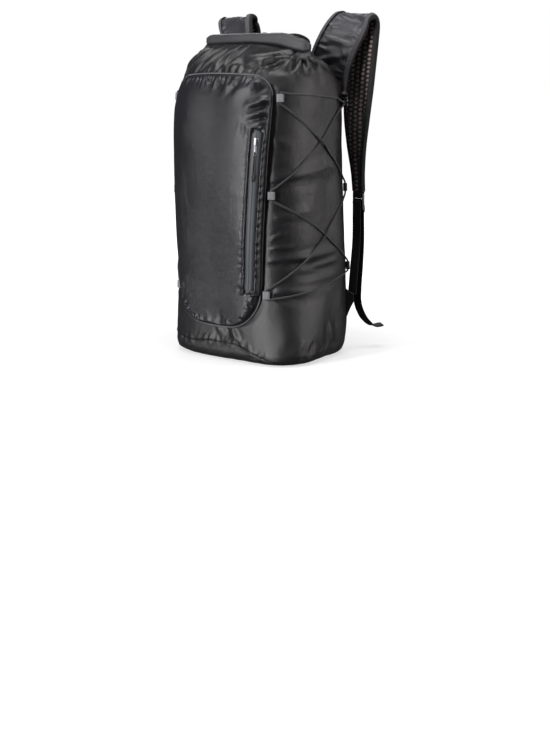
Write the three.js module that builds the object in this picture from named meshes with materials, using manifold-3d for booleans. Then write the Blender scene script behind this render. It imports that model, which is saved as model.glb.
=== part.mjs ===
// Packable roll-top backpack, standing unpacked but filled out on its base.
// Millimetres, +Z up, front towards -Y, origin on the ground under the middle of the base.
import * as THREE from 'three';
import { mergeVertices } from 'three/addons/utils/BufferGeometryUtils.js';
import Module from 'manifold-3d';

const wasm = await Module();
wasm.setup();

// Driving sizes of the bag
const BODY_HEIGHT = 477;
const BODY_WIDTH = 260;
const BODY_FRONT = 112;
const BODY_BACK = 98;
const CLOTH = 2;
const SEAM_GAP = 0.3;
const BASE_HEIGHT = 24;
const MOUTH_RISE = 6;
const SEAM_STEP = 0.008;

// Rolled closure and the strap that clips its ends together behind it
const ROLL_LENGTH = 204;
const ROLL_HEIGHT = 21;
const ROLL_DEPTH = 17;
const ROLL_SWEEP = 9;
const ROLL_AHEAD = 15;
const ROLL_GAP = 0.6;
const ROLL_SIDES = 14;
const OVAL_POWER = 2.6;
const CLOSURE_WEB_WIDTH = 16;
const CLOSURE_WEB_THICK = 1.6;
const CLOSURE_REACH = 28;
const CLOSURE_WEB_LIFT = 4;
const CLOSURE_HOOK = 4;
const CLOSURE_TURN = 11;
const CLOSURE_BUCKLE_LENGTH = 44;
const CLOSURE_BUCKLE_HEIGHT = 23;
const CLOSURE_BUCKLE_THICK = 9;
const CLOSURE_BUCKLE_CORNER = 5;

// Front pocket, its piping and its zip
const POCKET_TOP = 434;
const POCKET_BOTTOM = 54;
const POCKET_TOP_WIDTH = 189;
const POCKET_BOTTOM_WIDTH = 153;
const POCKET_TOP_CORNER = 34;
const POCKET_BOTTOM_CORNER = 52;
const POCKET_DEPTH = 9;
const POCKET_EDGE = 14;
const POCKET_RIM_GAP = 0.7;
const POCKET_SIDES = 56;
const PIPING_DIAMETER = 2.6;
const PIPING_LIFT = 0.8;
const ZIP_TOP = 354;
const ZIP_BOTTOM = 112;
const ZIP_OFFSET = 72;
const ZIP_SLANT = 0.055;
const ZIP_WIDTH = 13;
const ZIP_THICK = 1.4;
const ZIP_LIFT = 0.8;
const ZIP_STEPS = 12;
const SLIDER_WIDTH = 8;
const SLIDER_LENGTH = 12;
const SLIDER_THICK = 3.4;
const SLIDER_DROP = 10;
const PULLER_WIDTH = 4.5;
const PULLER_LENGTH = 15;
const PULLER_THICK = 1.4;
const PULL_CORD_DIAMETER = 2;
const PULL_CORD_LENGTH = 30;
const PULL_KNOT_DIAMETER = 6;

// Elastic side cords, the loops that hold them and their locks
const CORD_DIAMETER = 3;
const CORD_GAP = 0.3;
const CORD_LIFT = 1;
const CORD_RISE = 1.5;
const LOOP_LENGTH = 12;
const LOOP_REACH = 11;
const LOOP_STRAP = 1.1;
const LOOP_HOLE = 4.2;
const LOOP_EXIT = 2;
const LOCK_DIAMETER = 12;
const LOCK_HEIGHT = 16;
const LOCK_FLOOR = 2;
const LOCK_EDGE = 1;
const LOCK_EXIT = 1.5;
const PLUNGER_DIAMETER = 8;
const PLUNGER_CAP = 10;
const PLUNGER_CAP_HEIGHT = 2.5;
const PLUNGER_STAND = 3.6;
const PLUNGER_TRAVEL = 3;
const SLIDE_GAP = 0.35;

// Shoulder straps, their webbing and buckles
const STRAP_WIDTH = 70;
const STRAP_END_WIDTH = 25;
const STRAP_FOAM = 6;
const STRAP_MESH = 2;
const LAYER_GAP = 0.5;
const BINDING_WIDTH = 7;
const BINDING_THICK = 1;
const STRAP_RISE = 45;
const STRAP_TOP = BODY_HEIGHT + STRAP_RISE;
const STRAP_SPREAD = 242;
const STRAP_BACK = 97;
const LADDER_DROP = 2.3;
const LADDER_WIDTH = 24.5;
const LADDER_LENGTH = 29;
const LADDER_THICK = 4.5;
const LADDER_BAR = 4;
const LADDER_SLOT = 6.5;
const LADDER_CORNER = 3;
const LADDER_SIDE_GAP = 0.75;
const STRAP_STEPS = 20;
const WEB_STEPS = 38;
const WEB_WIDTH = 20;
const WEB_THICK = 1.5;
const TAB_HEIGHT = 55;
const TAB_REACH = 13;
const TAB_THICK = 1.8;
const ANCHOR_HEIGHT = 77;
const ANCHOR_ANGLE = 33;
const ANCHOR_TIP_RISE = 14;
const ANCHOR_TIP_IN = 4;
const TAIL_DROP = 201;
const TAIL_REACH = 38;

// Mesh fineness
const HALF_TURN = 180;
const BODY_SIDES = 46;
const ROUND_SIDES = 12;
const CORD_SIDES = 6;
const PIPING_SIDES = 5;
const CORD_SPLIT = 22;

// Sections of the body from the ground to the mouth: height as a share of BODY_HEIGHT, half width
// of BODY_WIDTH, front of BODY_FRONT, back of BODY_BACK; fore and aft are the powers that square
// off the front and back; the middle stands aside by a share of BODY_WIDTH and ahead by one of
// BODY_FRONT
const SECTIONS = [
  { height: 0, width: 0.86, front: 0.8, back: 0.8, fore: 3.7, aft: 3.6, aside: 0.022, ahead: 0.07 },
  { height: 0.008, width: 0.93, front: 0.87, back: 0.9, fore: 3.7, aft: 3.6, aside: 0.022, ahead: 0.07 },
  { height: 0.025, width: 0.965, front: 0.92, back: 0.955, fore: 3.6, aft: 3.6, aside: 0.02, ahead: 0.065 },
  { height: 0.05, width: 0.98, front: 0.93, back: 0.985, fore: 3.5, aft: 3.6, aside: 0.016, ahead: 0.05 },
  { height: 0.094, width: 0.995, front: 0.935, back: 0.995, fore: 3.3, aft: 3.6, aside: 0.01, ahead: 0.03 },
  { height: 0.16, width: 1, front: 0.94, back: 1, fore: 3.1, aft: 3.5, aside: 0.005, ahead: 0.015 },
  { height: 0.25, width: 1, front: 0.95, back: 0.98, fore: 2.9, aft: 3.4, aside: 0, ahead: 0 },
  { height: 0.38, width: 1, front: 0.985, back: 0.935, fore: 2.8, aft: 3.3, aside: 0, ahead: 0 },
  { height: 0.54, width: 0.982, front: 1, back: 0.9, fore: 2.8, aft: 3.3, aside: 0, ahead: 0 },
  { height: 0.69, width: 0.96, front: 1, back: 0.905, fore: 2.8, aft: 3.2, aside: 0, ahead: 0 },
  { height: 0.8, width: 0.958, front: 0.985, back: 0.92, fore: 2.7, aft: 3.1, aside: 0, ahead: 0 },
  { height: 0.85, width: 0.962, front: 0.965, back: 0.92, fore: 2.7, aft: 3, aside: 0, ahead: 0 },
  { height: 0.89, width: 0.957, front: 0.915, back: 0.88, fore: 2.6, aft: 3, aside: 0, ahead: 0.01 },
  { height: 0.922, width: 0.943, front: 0.83, back: 0.8, fore: 2.6, aft: 2.8, aside: 0, ahead: 0.03 },
  { height: 0.948, width: 0.917, front: 0.69, back: 0.67, fore: 2.5, aft: 2.6, aside: 0, ahead: 0.055 },
  { height: 0.968, width: 0.885, front: 0.5, back: 0.49, fore: 2.3, aft: 2.4, aside: 0, ahead: 0.075 },
  { height: 0.985, width: 0.84, front: 0.29, back: 0.29, fore: 2.2, aft: 2.2, aside: 0, ahead: 0.09 },
  { height: 1, width: 0.79, front: 0.1, back: 0.115, fore: 2, aft: 2, aside: 0, ahead: 0.1 },
];

// Folds of the body cloth: angle about +Z from +X in degrees, heights as shares of BODY_HEIGHT,
// spread in degrees, depth as a share of BODY_WIDTH (a minus sign is a valley), lean in degrees
const FOLDS = [
  { angle: -78, low: 0.918, high: 0.99, spread: 6, depth: -0.02, lean: 26 },
  { angle: -62, low: 0.918, high: 0.99, spread: 5, depth: 0.014, lean: 22 },
  { angle: -50, low: 0.918, high: 0.99, spread: 5, depth: -0.022, lean: 18 },
  { angle: -36, low: 0.918, high: 0.99, spread: 5, depth: 0.014, lean: 12 },
  { angle: -24, low: 0.918, high: 0.98, spread: 6, depth: -0.022, lean: 6 },
  { angle: -112, low: 0.918, high: 0.99, spread: 6, depth: -0.012, lean: -8 },
  { angle: -136, low: 0.89, high: 0.98, spread: 7, depth: -0.014, lean: -10 },
  { angle: 36, low: 0.88, high: 0.98, spread: 8, depth: -0.014, lean: -10 },
  { angle: 90, low: 0.88, high: 0.98, spread: 9, depth: -0.016, lean: 0 },
  { angle: 144, low: 0.88, high: 0.98, spread: 8, depth: -0.014, lean: 10 },
  { angle: 3, low: 0.3, high: 0.62, spread: 16, depth: -0.012, lean: -8 },
  { angle: 177, low: 0.3, high: 0.62, spread: 16, depth: -0.012, lean: 8 },
  { angle: -88, low: 0.045, high: 0.13, spread: 5, depth: -0.014, lean: -4 },
  { angle: -8, low: 0.06, high: 0.24, spread: 12, depth: 0.008, lean: -10 },
];

const COLOURS = {
  nylon: { color: 0x353439, roughness: 0.5, metalness: 0 },
  pocket: { color: 0x3b3b41, roughness: 0.48, metalness: 0 },
  tape: { color: 0x4b5054, roughness: 0.6, metalness: 0 },
  piping: { color: 0x646468, roughness: 0.6, metalness: 0 },
  loop: { color: 0x96949a, roughness: 0.7, metalness: 0 },
  cord: { color: 0x48484c, roughness: 0.8, metalness: 0 },
  strap: { color: 0x4a494e, roughness: 0.5, metalness: 0 },
  mesh: { color: 0x201d1e, roughness: 0.9, metalness: 0 },
  binding: { color: 0x5e5d61, roughness: 0.7, metalness: 0 },
  webbing: { color: 0x1e1e20, roughness: 0.75, metalness: 0 },
  buckle: { color: 0x19191b, roughness: 0.45, metalness: 0 },
  metal: { color: 0xb4b6b9, roughness: 0.3, metalness: 1 },
};

const pack = new THREE.Group();

function addPiece(name, geometry, finish) {
  const mesh = new THREE.Mesh(geometry, new THREE.MeshStandardMaterial(COLOURS[finish]));
  mesh.name = name;
  pack.add(mesh);
  return mesh;
}

function smooth(low, high, value) {
  return THREE.MathUtils.smoothstep(value, low, high);
}

// A closed body through rings of as many points each; a loop joins its last ring to its first
function loft(rings, { loop = false } = {}) {
  const count = rings[0].length;
  const points = rings.flat().map((point) => point.clone());
  const index = [];
  const bridge = (from, to) => {
    for (let i = 0; i < count; i += 1) {
      const next = (i + 1) % count;
      index.push(from + i, from + next, to + next, from + i, to + next, to + i);
    }
  };
  for (let k = 0; k + 1 < rings.length; k += 1) {
    bridge(k * count, (k + 1) * count);
  }
  if (loop) {
    bridge((rings.length - 1) * count, 0);
  } else {
    closeEnd(points, index, 0, count, true);
    closeEnd(points, index, (rings.length - 1) * count, count, false);
  }
  const geometry = new THREE.BufferGeometry().setFromPoints(points);
  geometry.setIndex(index);
  return faceOut(geometry);
}

// Triangles over the flat outline of a ring shut the end of a loft
function closeEnd(points, index, start, count, first) {
  const ring = points.slice(start, start + count);
  const facing = new THREE.Vector3();
  ring.forEach((point, i) => facing.add(point.clone().cross(ring[(i + 1) % count])));
  facing.normalize();
  const along = ring[1].clone().sub(ring[0]).normalize();
  const across = new THREE.Vector3().crossVectors(facing, along);
  const flat = ring.map((point) => new THREE.Vector2(point.dot(along), point.dot(across)));
  for (const [a, b, c] of THREE.ShapeUtils.triangulateShape(flat, [])) {
    index.push(start + a, start + (first ? c : b), start + (first ? b : c));
  }
}

function signedVolume(geometry) {
  const place = geometry.getAttribute('position');
  const index = geometry.getIndex();
  const [a, b, c] = [new THREE.Vector3(), new THREE.Vector3(), new THREE.Vector3()];
  let volume = 0;
  for (let i = 0; i < index.count; i += 3) {
    a.fromBufferAttribute(place, index.getX(i));
    b.fromBufferAttribute(place, index.getX(i + 1));
    c.fromBufferAttribute(place, index.getX(i + 2));
    volume += a.dot(b.cross(c)) / 6;
  }
  return volume;
}

function faceOut(geometry) {
  if (signedVolume(geometry) < 0) {
    const index = geometry.getIndex();
    for (let i = 0; i < index.count; i += 3) {
      const second = index.getX(i + 1);
      index.setX(i + 1, index.getX(i + 2));
      index.setX(i + 2, second);
    }
  }
  geometry.computeVertexNormals();
  return geometry;
}

function toSolid(geometry) {
  const bare = geometry.clone();
  bare.deleteAttribute('normal');
  bare.deleteAttribute('uv');
  const merged = mergeVertices(bare, 1e-4);
  return new wasm.Manifold(new wasm.Mesh({
    numProp: 3,
    vertProperties: new Float32Array(merged.getAttribute('position').array),
    triVerts: new Uint32Array(merged.getIndex().array),
  }));
}

function fromSolid(solid) {
  const mesh = solid.getMesh();
  const geometry = new THREE.BufferGeometry();
  geometry.setAttribute('position', new THREE.Float32BufferAttribute(mesh.vertProperties, 3));
  geometry.setIndex(Array.from(mesh.triVerts));
  geometry.computeVertexNormals();
  return geometry;
}

function cutAway(geometry, cutters) {
  let solid = toSolid(geometry);
  for (const cutter of cutters) {
    solid = solid.subtract(toSolid(cutter));
  }
  return fromSolid(solid);
}

// One row of a table at a share between its rows
function sectionAt(share) {
  const last = SECTIONS.length - 1;
  let row = 0;
  while (row < last - 1 && share > SECTIONS[row + 1].height) {
    row += 1;
  }
  const from = SECTIONS[row];
  const to = SECTIONS[row + 1];
  const mix = (share - from.height) / (to.height - from.height);
  const blend = (key) => from[key] + (to[key] - from[key]) * mix;
  return {
    width: blend('width') * BODY_WIDTH / 2,
    front: blend('front') * BODY_FRONT,
    back: blend('back') * BODY_BACK,
    fore: blend('fore'),
    aft: blend('aft'),
    aside: blend('aside') * BODY_WIDTH,
    ahead: blend('ahead') * BODY_FRONT,
  };
}

function foldDepth(angle, share) {
  let depth = 0;
  for (const fold of FOLDS) {
    const along = (share - fold.low) / (fold.high - fold.low);
    if (along > 0 && along < 1) {
      const middle = fold.angle + fold.lean * (0.5 - along);
      const away = THREE.MathUtils.euclideanModulo(angle - middle + HALF_TURN, 2 * HALF_TURN)
        - HALF_TURN;
      depth += fold.depth * Math.sin(Math.PI * along) * Math.exp(-((away / fold.spread) ** 2));
    }
  }
  return depth * BODY_WIDTH;
}

// How much the mouth rises in the middle and to the left, where the roll is thinner
function mouthRise(x) {
  return MOUTH_RISE * (1 - smooth(0.1, 0.6, x / (ROLL_LENGTH / 2)));
}

// A point of the body's outside at an angle in degrees and a share of the body's height
function bodyPoint(angle, share) {
  const size = sectionAt(share);
  const turn = THREE.MathUtils.degToRad(angle);
  const across = Math.cos(turn);
  const along = Math.sin(turn);
  const power = along > 0 ? size.aft : size.fore;
  const reach = along > 0 ? size.back : size.front;
  const stretch = (Math.abs(across) ** power + Math.abs(along) ** power) ** (-1 / power);
  const point = new THREE.Vector3(size.width * across * stretch, reach * along * stretch, 0);
  point.addScaledVector(new THREE.Vector3(across, along, 0), foldDepth(angle, share));
  point.add(new THREE.Vector3(size.aside, -size.ahead, 0));
  point.z = share * BODY_HEIGHT + mouthRise(point.x) * smooth(0.93, 1, share);
  return point;
}

function bodyNormal(angle, share) {
  const step = 0.003;
  const turnStep = 1.5;
  const low = Math.max(0, share - step);
  const high = Math.min(1, share + step);
  const up = bodyPoint(angle, high).sub(bodyPoint(angle, low));
  const round = bodyPoint(angle + turnStep, share).sub(bodyPoint(angle - turnStep, share));
  return round.cross(up).normalize();
}

// The angle at which the front of the body lies at a sideways place and a height
function frontAngle(x, z) {
  const size = sectionAt(z / BODY_HEIGHT);
  const across = THREE.MathUtils.clamp((x - size.aside) / size.width, -1, 1);
  const along = -((1 - Math.abs(across) ** size.fore) ** (1 / size.fore));
  return THREE.MathUtils.radToDeg(Math.atan2(along, across));
}

function onFront(x, z, lift) {
  const angle = frontAngle(x, z);
  const share = z / BODY_HEIGHT;
  return bodyPoint(angle, share).addScaledVector(bodyNormal(angle, share), lift);
}

function bodyRing(share, inset) {
  const ring = [];
  for (let i = 0; i < BODY_SIDES; i += 1) {
    const angle = (i * 2 * HALF_TURN) / BODY_SIDES;
    const point = bodyPoint(angle, share);
    ring.push(point.addScaledVector(bodyNormal(angle, share), -inset));
  }
  return ring;
}

// The bag's main compartment, open at the mouth above and sewn to the base below
function bodyShell() {
  const seam = BASE_HEIGHT / BODY_HEIGHT;
  const shares = SECTIONS.map((row) => row.height).filter((share) => share > seam + SEAM_STEP);
  shares.unshift(seam);
  const outside = shares.map((share) => bodyRing(share, 0));
  const inside = shares.map((share) => bodyRing(share, CLOTH)).reverse();
  return loft([...outside, ...inside], { loop: true });
}

// The base is a shallow tray whose rim meets the body at the seam
function basePanel() {
  const seam = (BASE_HEIGHT - SEAM_GAP) / BODY_HEIGHT;
  const shares = SECTIONS.map((row) => row.height).filter((share) => share < seam - SEAM_STEP);
  shares.push(seam);
  const outside = shares.map((share) => bodyRing(share, 0));
  const inside = shares.map((share) => bodyRing(share, CLOTH)).reverse();
  inside.forEach((ring) => ring.forEach((point) => point.setZ(Math.max(point.z, CLOTH))));
  inside.pop();
  return loft([...outside, ...inside]);
}

// Stations of the roll along its length: place as a share of half the length, drop as a share of
// its height, height and depth as shares of its own
const ROLL_STATIONS = [
  { place: -1, drop: 0.2, height: 0.5, depth: 0.5 },
  { place: -0.93, drop: 0.1, height: 0.64, depth: 0.8 },
  { place: -0.7, drop: 0.03, height: 0.68, depth: 0.95 },
  { place: -0.3, drop: 0, height: 0.67, depth: 1 },
  { place: 0.1, drop: 0, height: 0.68, depth: 1 },
  { place: 0.4, drop: 0.0, height: 0.8, depth: 1 },
  { place: 0.65, drop: 0.02, height: 0.96, depth: 1.05 },
  { place: 0.85, drop: 0.2, height: 0.86, depth: 1 },
  { place: 0.96, drop: 0.32, height: 0.72, depth: 0.8 },
  { place: 1, drop: 0.42, height: 0.5, depth: 0.5 },
];

const ROLL_TOP = BODY_HEIGHT + ROLL_GAP + ROLL_HEIGHT;

function rollLine(place) {
  return ROLL_SWEEP * (place ** 2 - 0.4) - ROLL_AHEAD;
}

function rollTop() {
  const rings = ROLL_STATIONS.map((row) => {
    const x = row.place * ROLL_LENGTH / 2;
    const y = rollLine(row.place);
    const half = row.height * ROLL_HEIGHT / 2;
    const floor = BODY_HEIGHT + mouthRise(x) + ROLL_GAP;
    const z = Math.max(ROLL_TOP - row.drop * ROLL_HEIGHT - half, floor + half);
    const turn = Math.atan(2 * ROLL_SWEEP * row.place / (ROLL_LENGTH / 2));
    const side = new THREE.Vector3(-Math.sin(turn), Math.cos(turn), 0);
    return ovalRing(new THREE.Vector3(x, y, z), side, new THREE.Vector3(0, 0, 1),
      row.depth * ROLL_DEPTH / 2, half, ROLL_SIDES);
  });
  return loft(rings);
}

function ovalRing(middle, side, up, halfSide, halfUp, count) {
  const ring = [];
  for (let i = 0; i < count; i += 1) {
    const turn = (i * 2 * Math.PI) / count;
    const c = Math.cos(turn);
    const s = Math.sin(turn);
    const round = (Math.abs(c) ** OVAL_POWER + Math.abs(s) ** OVAL_POWER) ** (-1 / OVAL_POWER);
    ring.push(middle.clone()
      .addScaledVector(side, halfSide * c * round)
      .addScaledVector(up, halfUp * s * round));
  }
  return ring;
}

// A strip through frames that each give a middle, a width direction and a face direction
function strip(frames, outlineOf) {
  return loft(frames.map((frame) => outlineOf(frame.share).map(([across, out]) => frame.middle
    .clone()
    .addScaledVector(frame.width, across)
    .addScaledVector(frame.face, out))));
}

function flatOutline(width, thick) {
  return () => [
    [-width / 2, -thick / 2], [width / 2, -thick / 2],
    [width / 2, thick / 2], [-width / 2, thick / 2],
  ];
}

// The pocket's outline on the front, as sideways place and height, corner by corner
function pocketOutline(grow) {
  const shape = new THREE.Shape();
  const top = POCKET_TOP + grow;
  const bottom = POCKET_BOTTOM - grow;
  const halfTop = POCKET_TOP_WIDTH / 2 + grow;
  const halfBottom = POCKET_BOTTOM_WIDTH / 2 + grow;
  const upper = POCKET_TOP_CORNER;
  const lower = POCKET_BOTTOM_CORNER;
  shape.moveTo(0, bottom);
  shape.lineTo(halfBottom - lower, bottom);
  shape.quadraticCurveTo(halfBottom, bottom, halfBottom, bottom + lower);
  shape.lineTo(halfTop, top - upper);
  shape.quadraticCurveTo(halfTop, top, halfTop - upper, top);
  shape.lineTo(-halfTop + upper, top);
  shape.quadraticCurveTo(-halfTop, top, -halfTop, top - upper);
  shape.lineTo(-halfBottom, bottom + lower);
  shape.quadraticCurveTo(-halfBottom, bottom, -halfBottom + lower, bottom);
  shape.lineTo(0, bottom);
  return shape;
}

function pocketHalfWidth(z) {
  const share = (z - POCKET_BOTTOM) / (POCKET_TOP - POCKET_BOTTOM);
  return (POCKET_BOTTOM_WIDTH + (POCKET_TOP_WIDTH - POCKET_BOTTOM_WIDTH) * share) / 2;
}

// The pocket is a cloth dish on the front: its rim lies on the body and its middle stands clear
function frontPocket() {
  const outline = pocketOutline(0).getSpacedPoints(POCKET_SIDES).slice(0, -1);
  const middle = new THREE.Vector2(0, (POCKET_TOP + POCKET_BOTTOM) / 2);
  const edge = 1 - POCKET_EDGE / (POCKET_TOP_WIDTH / 2);
  const shares = [0.3, 0.65, edge, (1 + edge) / 2, 1];
  const ringAt = (share, thick) => outline.map((corner) => {
    const flat = middle.clone().lerp(corner, share);
    const rise = (POCKET_DEPTH - POCKET_RIM_GAP) * Math.sqrt(1 - smooth(edge - 0.02, 1, share));
    return onFront(flat.x, flat.y, POCKET_RIM_GAP + rise + thick);
  });
  const outside = shares.map((share) => ringAt(share, CLOTH));
  const inside = shares.map((share) => ringAt(share, 0)).reverse();
  return loft([...outside, ...inside]);
}

function onPocket(x, z, lift) {
  return onFront(x, z, POCKET_DEPTH + CLOTH + lift);
}

// A closed tube through a closed line of points, turned as little as the line lets it
function closedTube(points, radius, sides) {
  const count = points.length;
  const at = (i) => points[(i + count) % count];
  const tangentAt = (i) => at(i + 1).clone().sub(at(i - 1)).normalize();
  const normals = [new THREE.Vector3(1, 0, 0).cross(tangentAt(0)).normalize()];
  const turn = new THREE.Quaternion();
  for (let i = 1; i <= count; i += 1) {
    turn.setFromUnitVectors(tangentAt(i - 1), tangentAt(i));
    normals.push(normals[i - 1].clone().applyQuaternion(turn));
  }
  const start = tangentAt(0);
  const side = new THREE.Vector3().crossVectors(start, normals[0]);
  const twist = Math.atan2(normals[count].dot(side), normals[count].dot(normals[0]));
  const rings = points.map((point, i) => {
    const tangent = tangentAt(i);
    const normal = normals[i].applyAxisAngle(tangent, (-twist * i) / count);
    return tubeRing(point, normal, tangent.cross(normal), radius, sides);
  });
  return loft(rings, { loop: true });
}

function tubeRing(middle, normal, binormal, radius, sides) {
  const ring = [];
  for (let i = 0; i < sides; i += 1) {
    const turn = (i * 2 * Math.PI) / sides;
    ring.push(middle.clone()
      .addScaledVector(normal, radius * Math.cos(turn))
      .addScaledVector(binormal, radius * Math.sin(turn)));
  }
  return ring;
}

function pocketPiping() {
  const radius = PIPING_DIAMETER / 2;
  const outline = pocketOutline(radius + SEAM_GAP).getSpacedPoints(POCKET_SIDES).slice(0, -1);
  const points = outline.map((corner) => onFront(corner.x, corner.y, radius + PIPING_LIFT));
  return closedTube(points, radius, PIPING_SIDES);
}

function zipPlace(z) {
  return ZIP_OFFSET + (z - (ZIP_TOP + ZIP_BOTTOM) / 2) * ZIP_SLANT;
}

// A strip that follows the pocket's face down the line of the zip
function alongZip(top, bottom, width, lift, thick, steps) {
  const rings = [];
  for (let i = 0; i <= steps; i += 1) {
    const z = bottom + ((top - bottom) * i) / steps;
    const x = zipPlace(z);
    rings.push([
      onPocket(x - width / 2, z, lift), onPocket(x + width / 2, z, lift),
      onPocket(x + width / 2, z, lift + thick), onPocket(x - width / 2, z, lift + thick),
    ]);
  }
  return loft(rings);
}

function pocketZip() {
  return alongZip(ZIP_TOP, ZIP_BOTTOM, ZIP_WIDTH, ZIP_LIFT, ZIP_THICK, ZIP_STEPS);
}

function zipSlider() {
  const top = ZIP_TOP - SLIDER_DROP;
  const lift = ZIP_LIFT + ZIP_THICK + SEAM_GAP;
  return alongZip(top, top - SLIDER_LENGTH, SLIDER_WIDTH, lift, SLIDER_THICK, 2);
}

function zipPuller() {
  const top = ZIP_TOP - SLIDER_DROP - SLIDER_LENGTH - SEAM_GAP;
  const lift = ZIP_LIFT + ZIP_THICK + SEAM_GAP;
  return alongZip(top, top - PULLER_LENGTH, PULLER_WIDTH, lift, PULLER_THICK, 2);
}

// The pull's doubled cord hangs from the puller and ends in a knot
function zipPullCord() {
  const radius = PULL_CORD_DIAMETER / 2;
  const top = ZIP_TOP - SLIDER_DROP - SLIDER_LENGTH - PULLER_LENGTH - SEAM_GAP * 3;
  const lift = ZIP_LIFT + ZIP_THICK + SEAM_GAP + PULL_KNOT_DIAMETER / 2;
  const knotReach = PULL_KNOT_DIAMETER / 2;
  const stations = [
    { drop: 0, half: radius }, { drop: radius, half: radius * 2 },
    { drop: PULL_CORD_LENGTH - radius, half: radius * 2 },
    { drop: PULL_CORD_LENGTH, half: knotReach * 0.8 },
    { drop: PULL_CORD_LENGTH + knotReach, half: knotReach },
    { drop: PULL_CORD_LENGTH + knotReach * 2, half: knotReach * 0.6 },
  ];
  const rings = stations.map(({ drop, half }) => {
    const z = top - drop;
    const middle = onPocket(zipPlace(z), z, lift);
    const thick = Math.max(radius, half * 0.9 - radius * 0.6);
    return ovalRing(middle, new THREE.Vector3(1, 0, 0), new THREE.Vector3(0, 1, 0), half, thick, 8);
  });
  return loft(rings);
}

// Places of the cord's holders on one side: angle and height on the body, and how far the cord
// stands off the cloth there, which is the middle of each loop's hole
const LOOP_STAND = CORD_GAP + LOOP_STRAP + LOOP_HOLE / 2;
const BACK_ANGLE = 37;
const HOLDERS = {
  frontUpper: { z: 0.8428 * BODY_HEIGHT, front: true },
  frontMiddle: { z: 0.5409 * BODY_HEIGHT, front: true },
  frontLower: { z: 0.2243 * BODY_HEIGHT, front: true },
  backUpper: { z: 0.8302 * BODY_HEIGHT, front: false },
  backMiddle: { z: 0.5493 * BODY_HEIGHT, front: false },
  backLower: { z: 0.2893 * BODY_HEIGHT, front: false },
};

// An angle on the right of the bag and its twin on the left; side is 1 on the right, -1 on the left
function angleOnSide(angle, side) {
  const turned = side > 0 ? angle : HALF_TURN - angle;
  return THREE.MathUtils.euclideanModulo(turned + HALF_TURN, 2 * HALF_TURN) - HALF_TURN;
}

function holderAngle(holder, side) {
  if (!holder.front) {
    return BACK_ANGLE;
  }
  const seam = pocketHalfWidth(holder.z) + PIPING_DIAMETER + SEAM_GAP * 3;
  return angleOnSide(frontAngle(side * (seam + LOOP_REACH / 2), holder.z), side);
}

// Frame on one side of the body: out along the cloth's normal, round its skin to the back, and up
function sideFrame(angle, z, lift, side) {
  const share = z / BODY_HEIGHT;
  const turned = angleOnSide(angle, side);
  const out = bodyNormal(turned, share);
  const up = new THREE.Vector3(0, 0, 1).addScaledVector(out, -out.z).normalize();
  const round = new THREE.Vector3().crossVectors(up, out).multiplyScalar(side).normalize();
  const middle = bodyPoint(turned, share).addScaledVector(out, lift);
  return { middle, out, up, round };
}

// A folded webbing loop, open up and down for the cord
function cordLoop(holder, side) {
  const frame = sideFrame(holderAngle(holder, side), holder.z, LOOP_STAND, side);
  const halfReach = LOOP_REACH / 2;
  const halfHigh = LOOP_HOLE / 2 + LOOP_STRAP;
  const outline = cutCorners(LOOP_REACH, halfHigh * 2, halfHigh * 0.6);
  outline.holes.push(cutCorners((halfReach - LOOP_STRAP) * 2, LOOP_HOLE, LOOP_HOLE * 0.25));
  const geometry = new THREE.ExtrudeGeometry(outline, {
    depth: LOOP_LENGTH, bevelEnabled: false, curveSegments: 2,
  });
  geometry.translate(0, 0, -LOOP_LENGTH / 2);
  return placeInFrame(geometry, frame.round, frame.out, frame.up, frame.middle);
}

function roundedShape(width, height, corner) {
  const shape = new THREE.Shape();
  const x = width / 2;
  const y = height / 2;
  shape.moveTo(-x + corner, -y);
  shape.lineTo(x - corner, -y);
  shape.absarc(x - corner, -y + corner, corner, -Math.PI / 2, 0);
  shape.absarc(x - corner, y - corner, corner, 0, Math.PI / 2);
  shape.absarc(-x + corner, y - corner, corner, Math.PI / 2, Math.PI);
  shape.absarc(-x + corner, -y + corner, corner, Math.PI, Math.PI * 1.5);
  return shape;
}

function cutCorners(width, height, corner) {
  const x = width / 2;
  const y = height / 2;
  return new THREE.Shape([
    [-x + corner, -y], [x - corner, -y], [x, -y + corner], [x, y - corner],
    [x - corner, y], [-x + corner, y], [-x, y - corner], [-x, -y + corner],
  ].map(([across, up]) => new THREE.Vector2(across, up)));
}

function placeInFrame(geometry, xAxis, yAxis, zAxis, middle) {
  const matrix = new THREE.Matrix4().makeBasis(xAxis, yAxis, zAxis).setPosition(middle);
  const placed = geometry.clone().applyMatrix4(matrix);
  return matrix.determinant() < 0 ? turnOver(placed) : placed;
}

function turnOver(geometry) {
  const indexed = geometry.getIndex() ? geometry : mergeVertices(geometry, 1e-4);
  const index = indexed.getIndex();
  for (let i = 0; i < index.count; i += 3) {
    const second = index.getX(i + 1);
    index.setX(i + 1, index.getX(i + 2));
    index.setX(i + 2, second);
  }
  indexed.computeVertexNormals();
  return indexed;
}

function mirrored(geometry) {
  return turnOver(geometry.clone().applyMatrix4(new THREE.Matrix4().makeScale(-1, 1, 1)));
}

// The lock hangs in front of the upper back loop with its two strands one above the other
const LOCK_LEAD = 17;
const LOCK_TILT = 24;
const STRAND_STEP = CORD_DIAMETER + CORD_GAP;

function lockFrame(side) {
  const place = HOLDERS.backUpper;
  const stand = LOCK_DIAMETER / 2 + CORD_GAP;
  const lead = BACK_ANGLE - THREE.MathUtils.radToDeg(LOCK_LEAD / (BODY_WIDTH / 2));
  const frame = sideFrame(lead, place.z, stand, side);
  const tilt = THREE.MathUtils.degToRad(LOCK_TILT) * side;
  const up = frame.up.clone().applyAxisAngle(frame.out, tilt);
  const round = new THREE.Vector3().crossVectors(up, frame.out).multiplyScalar(side).normalize();
  return { middle: frame.middle, out: frame.out, up, round };
}

function lockPlace(frame, round, up) {
  return frame.middle.clone().addScaledVector(frame.round, round).addScaledVector(frame.up, up);
}

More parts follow.
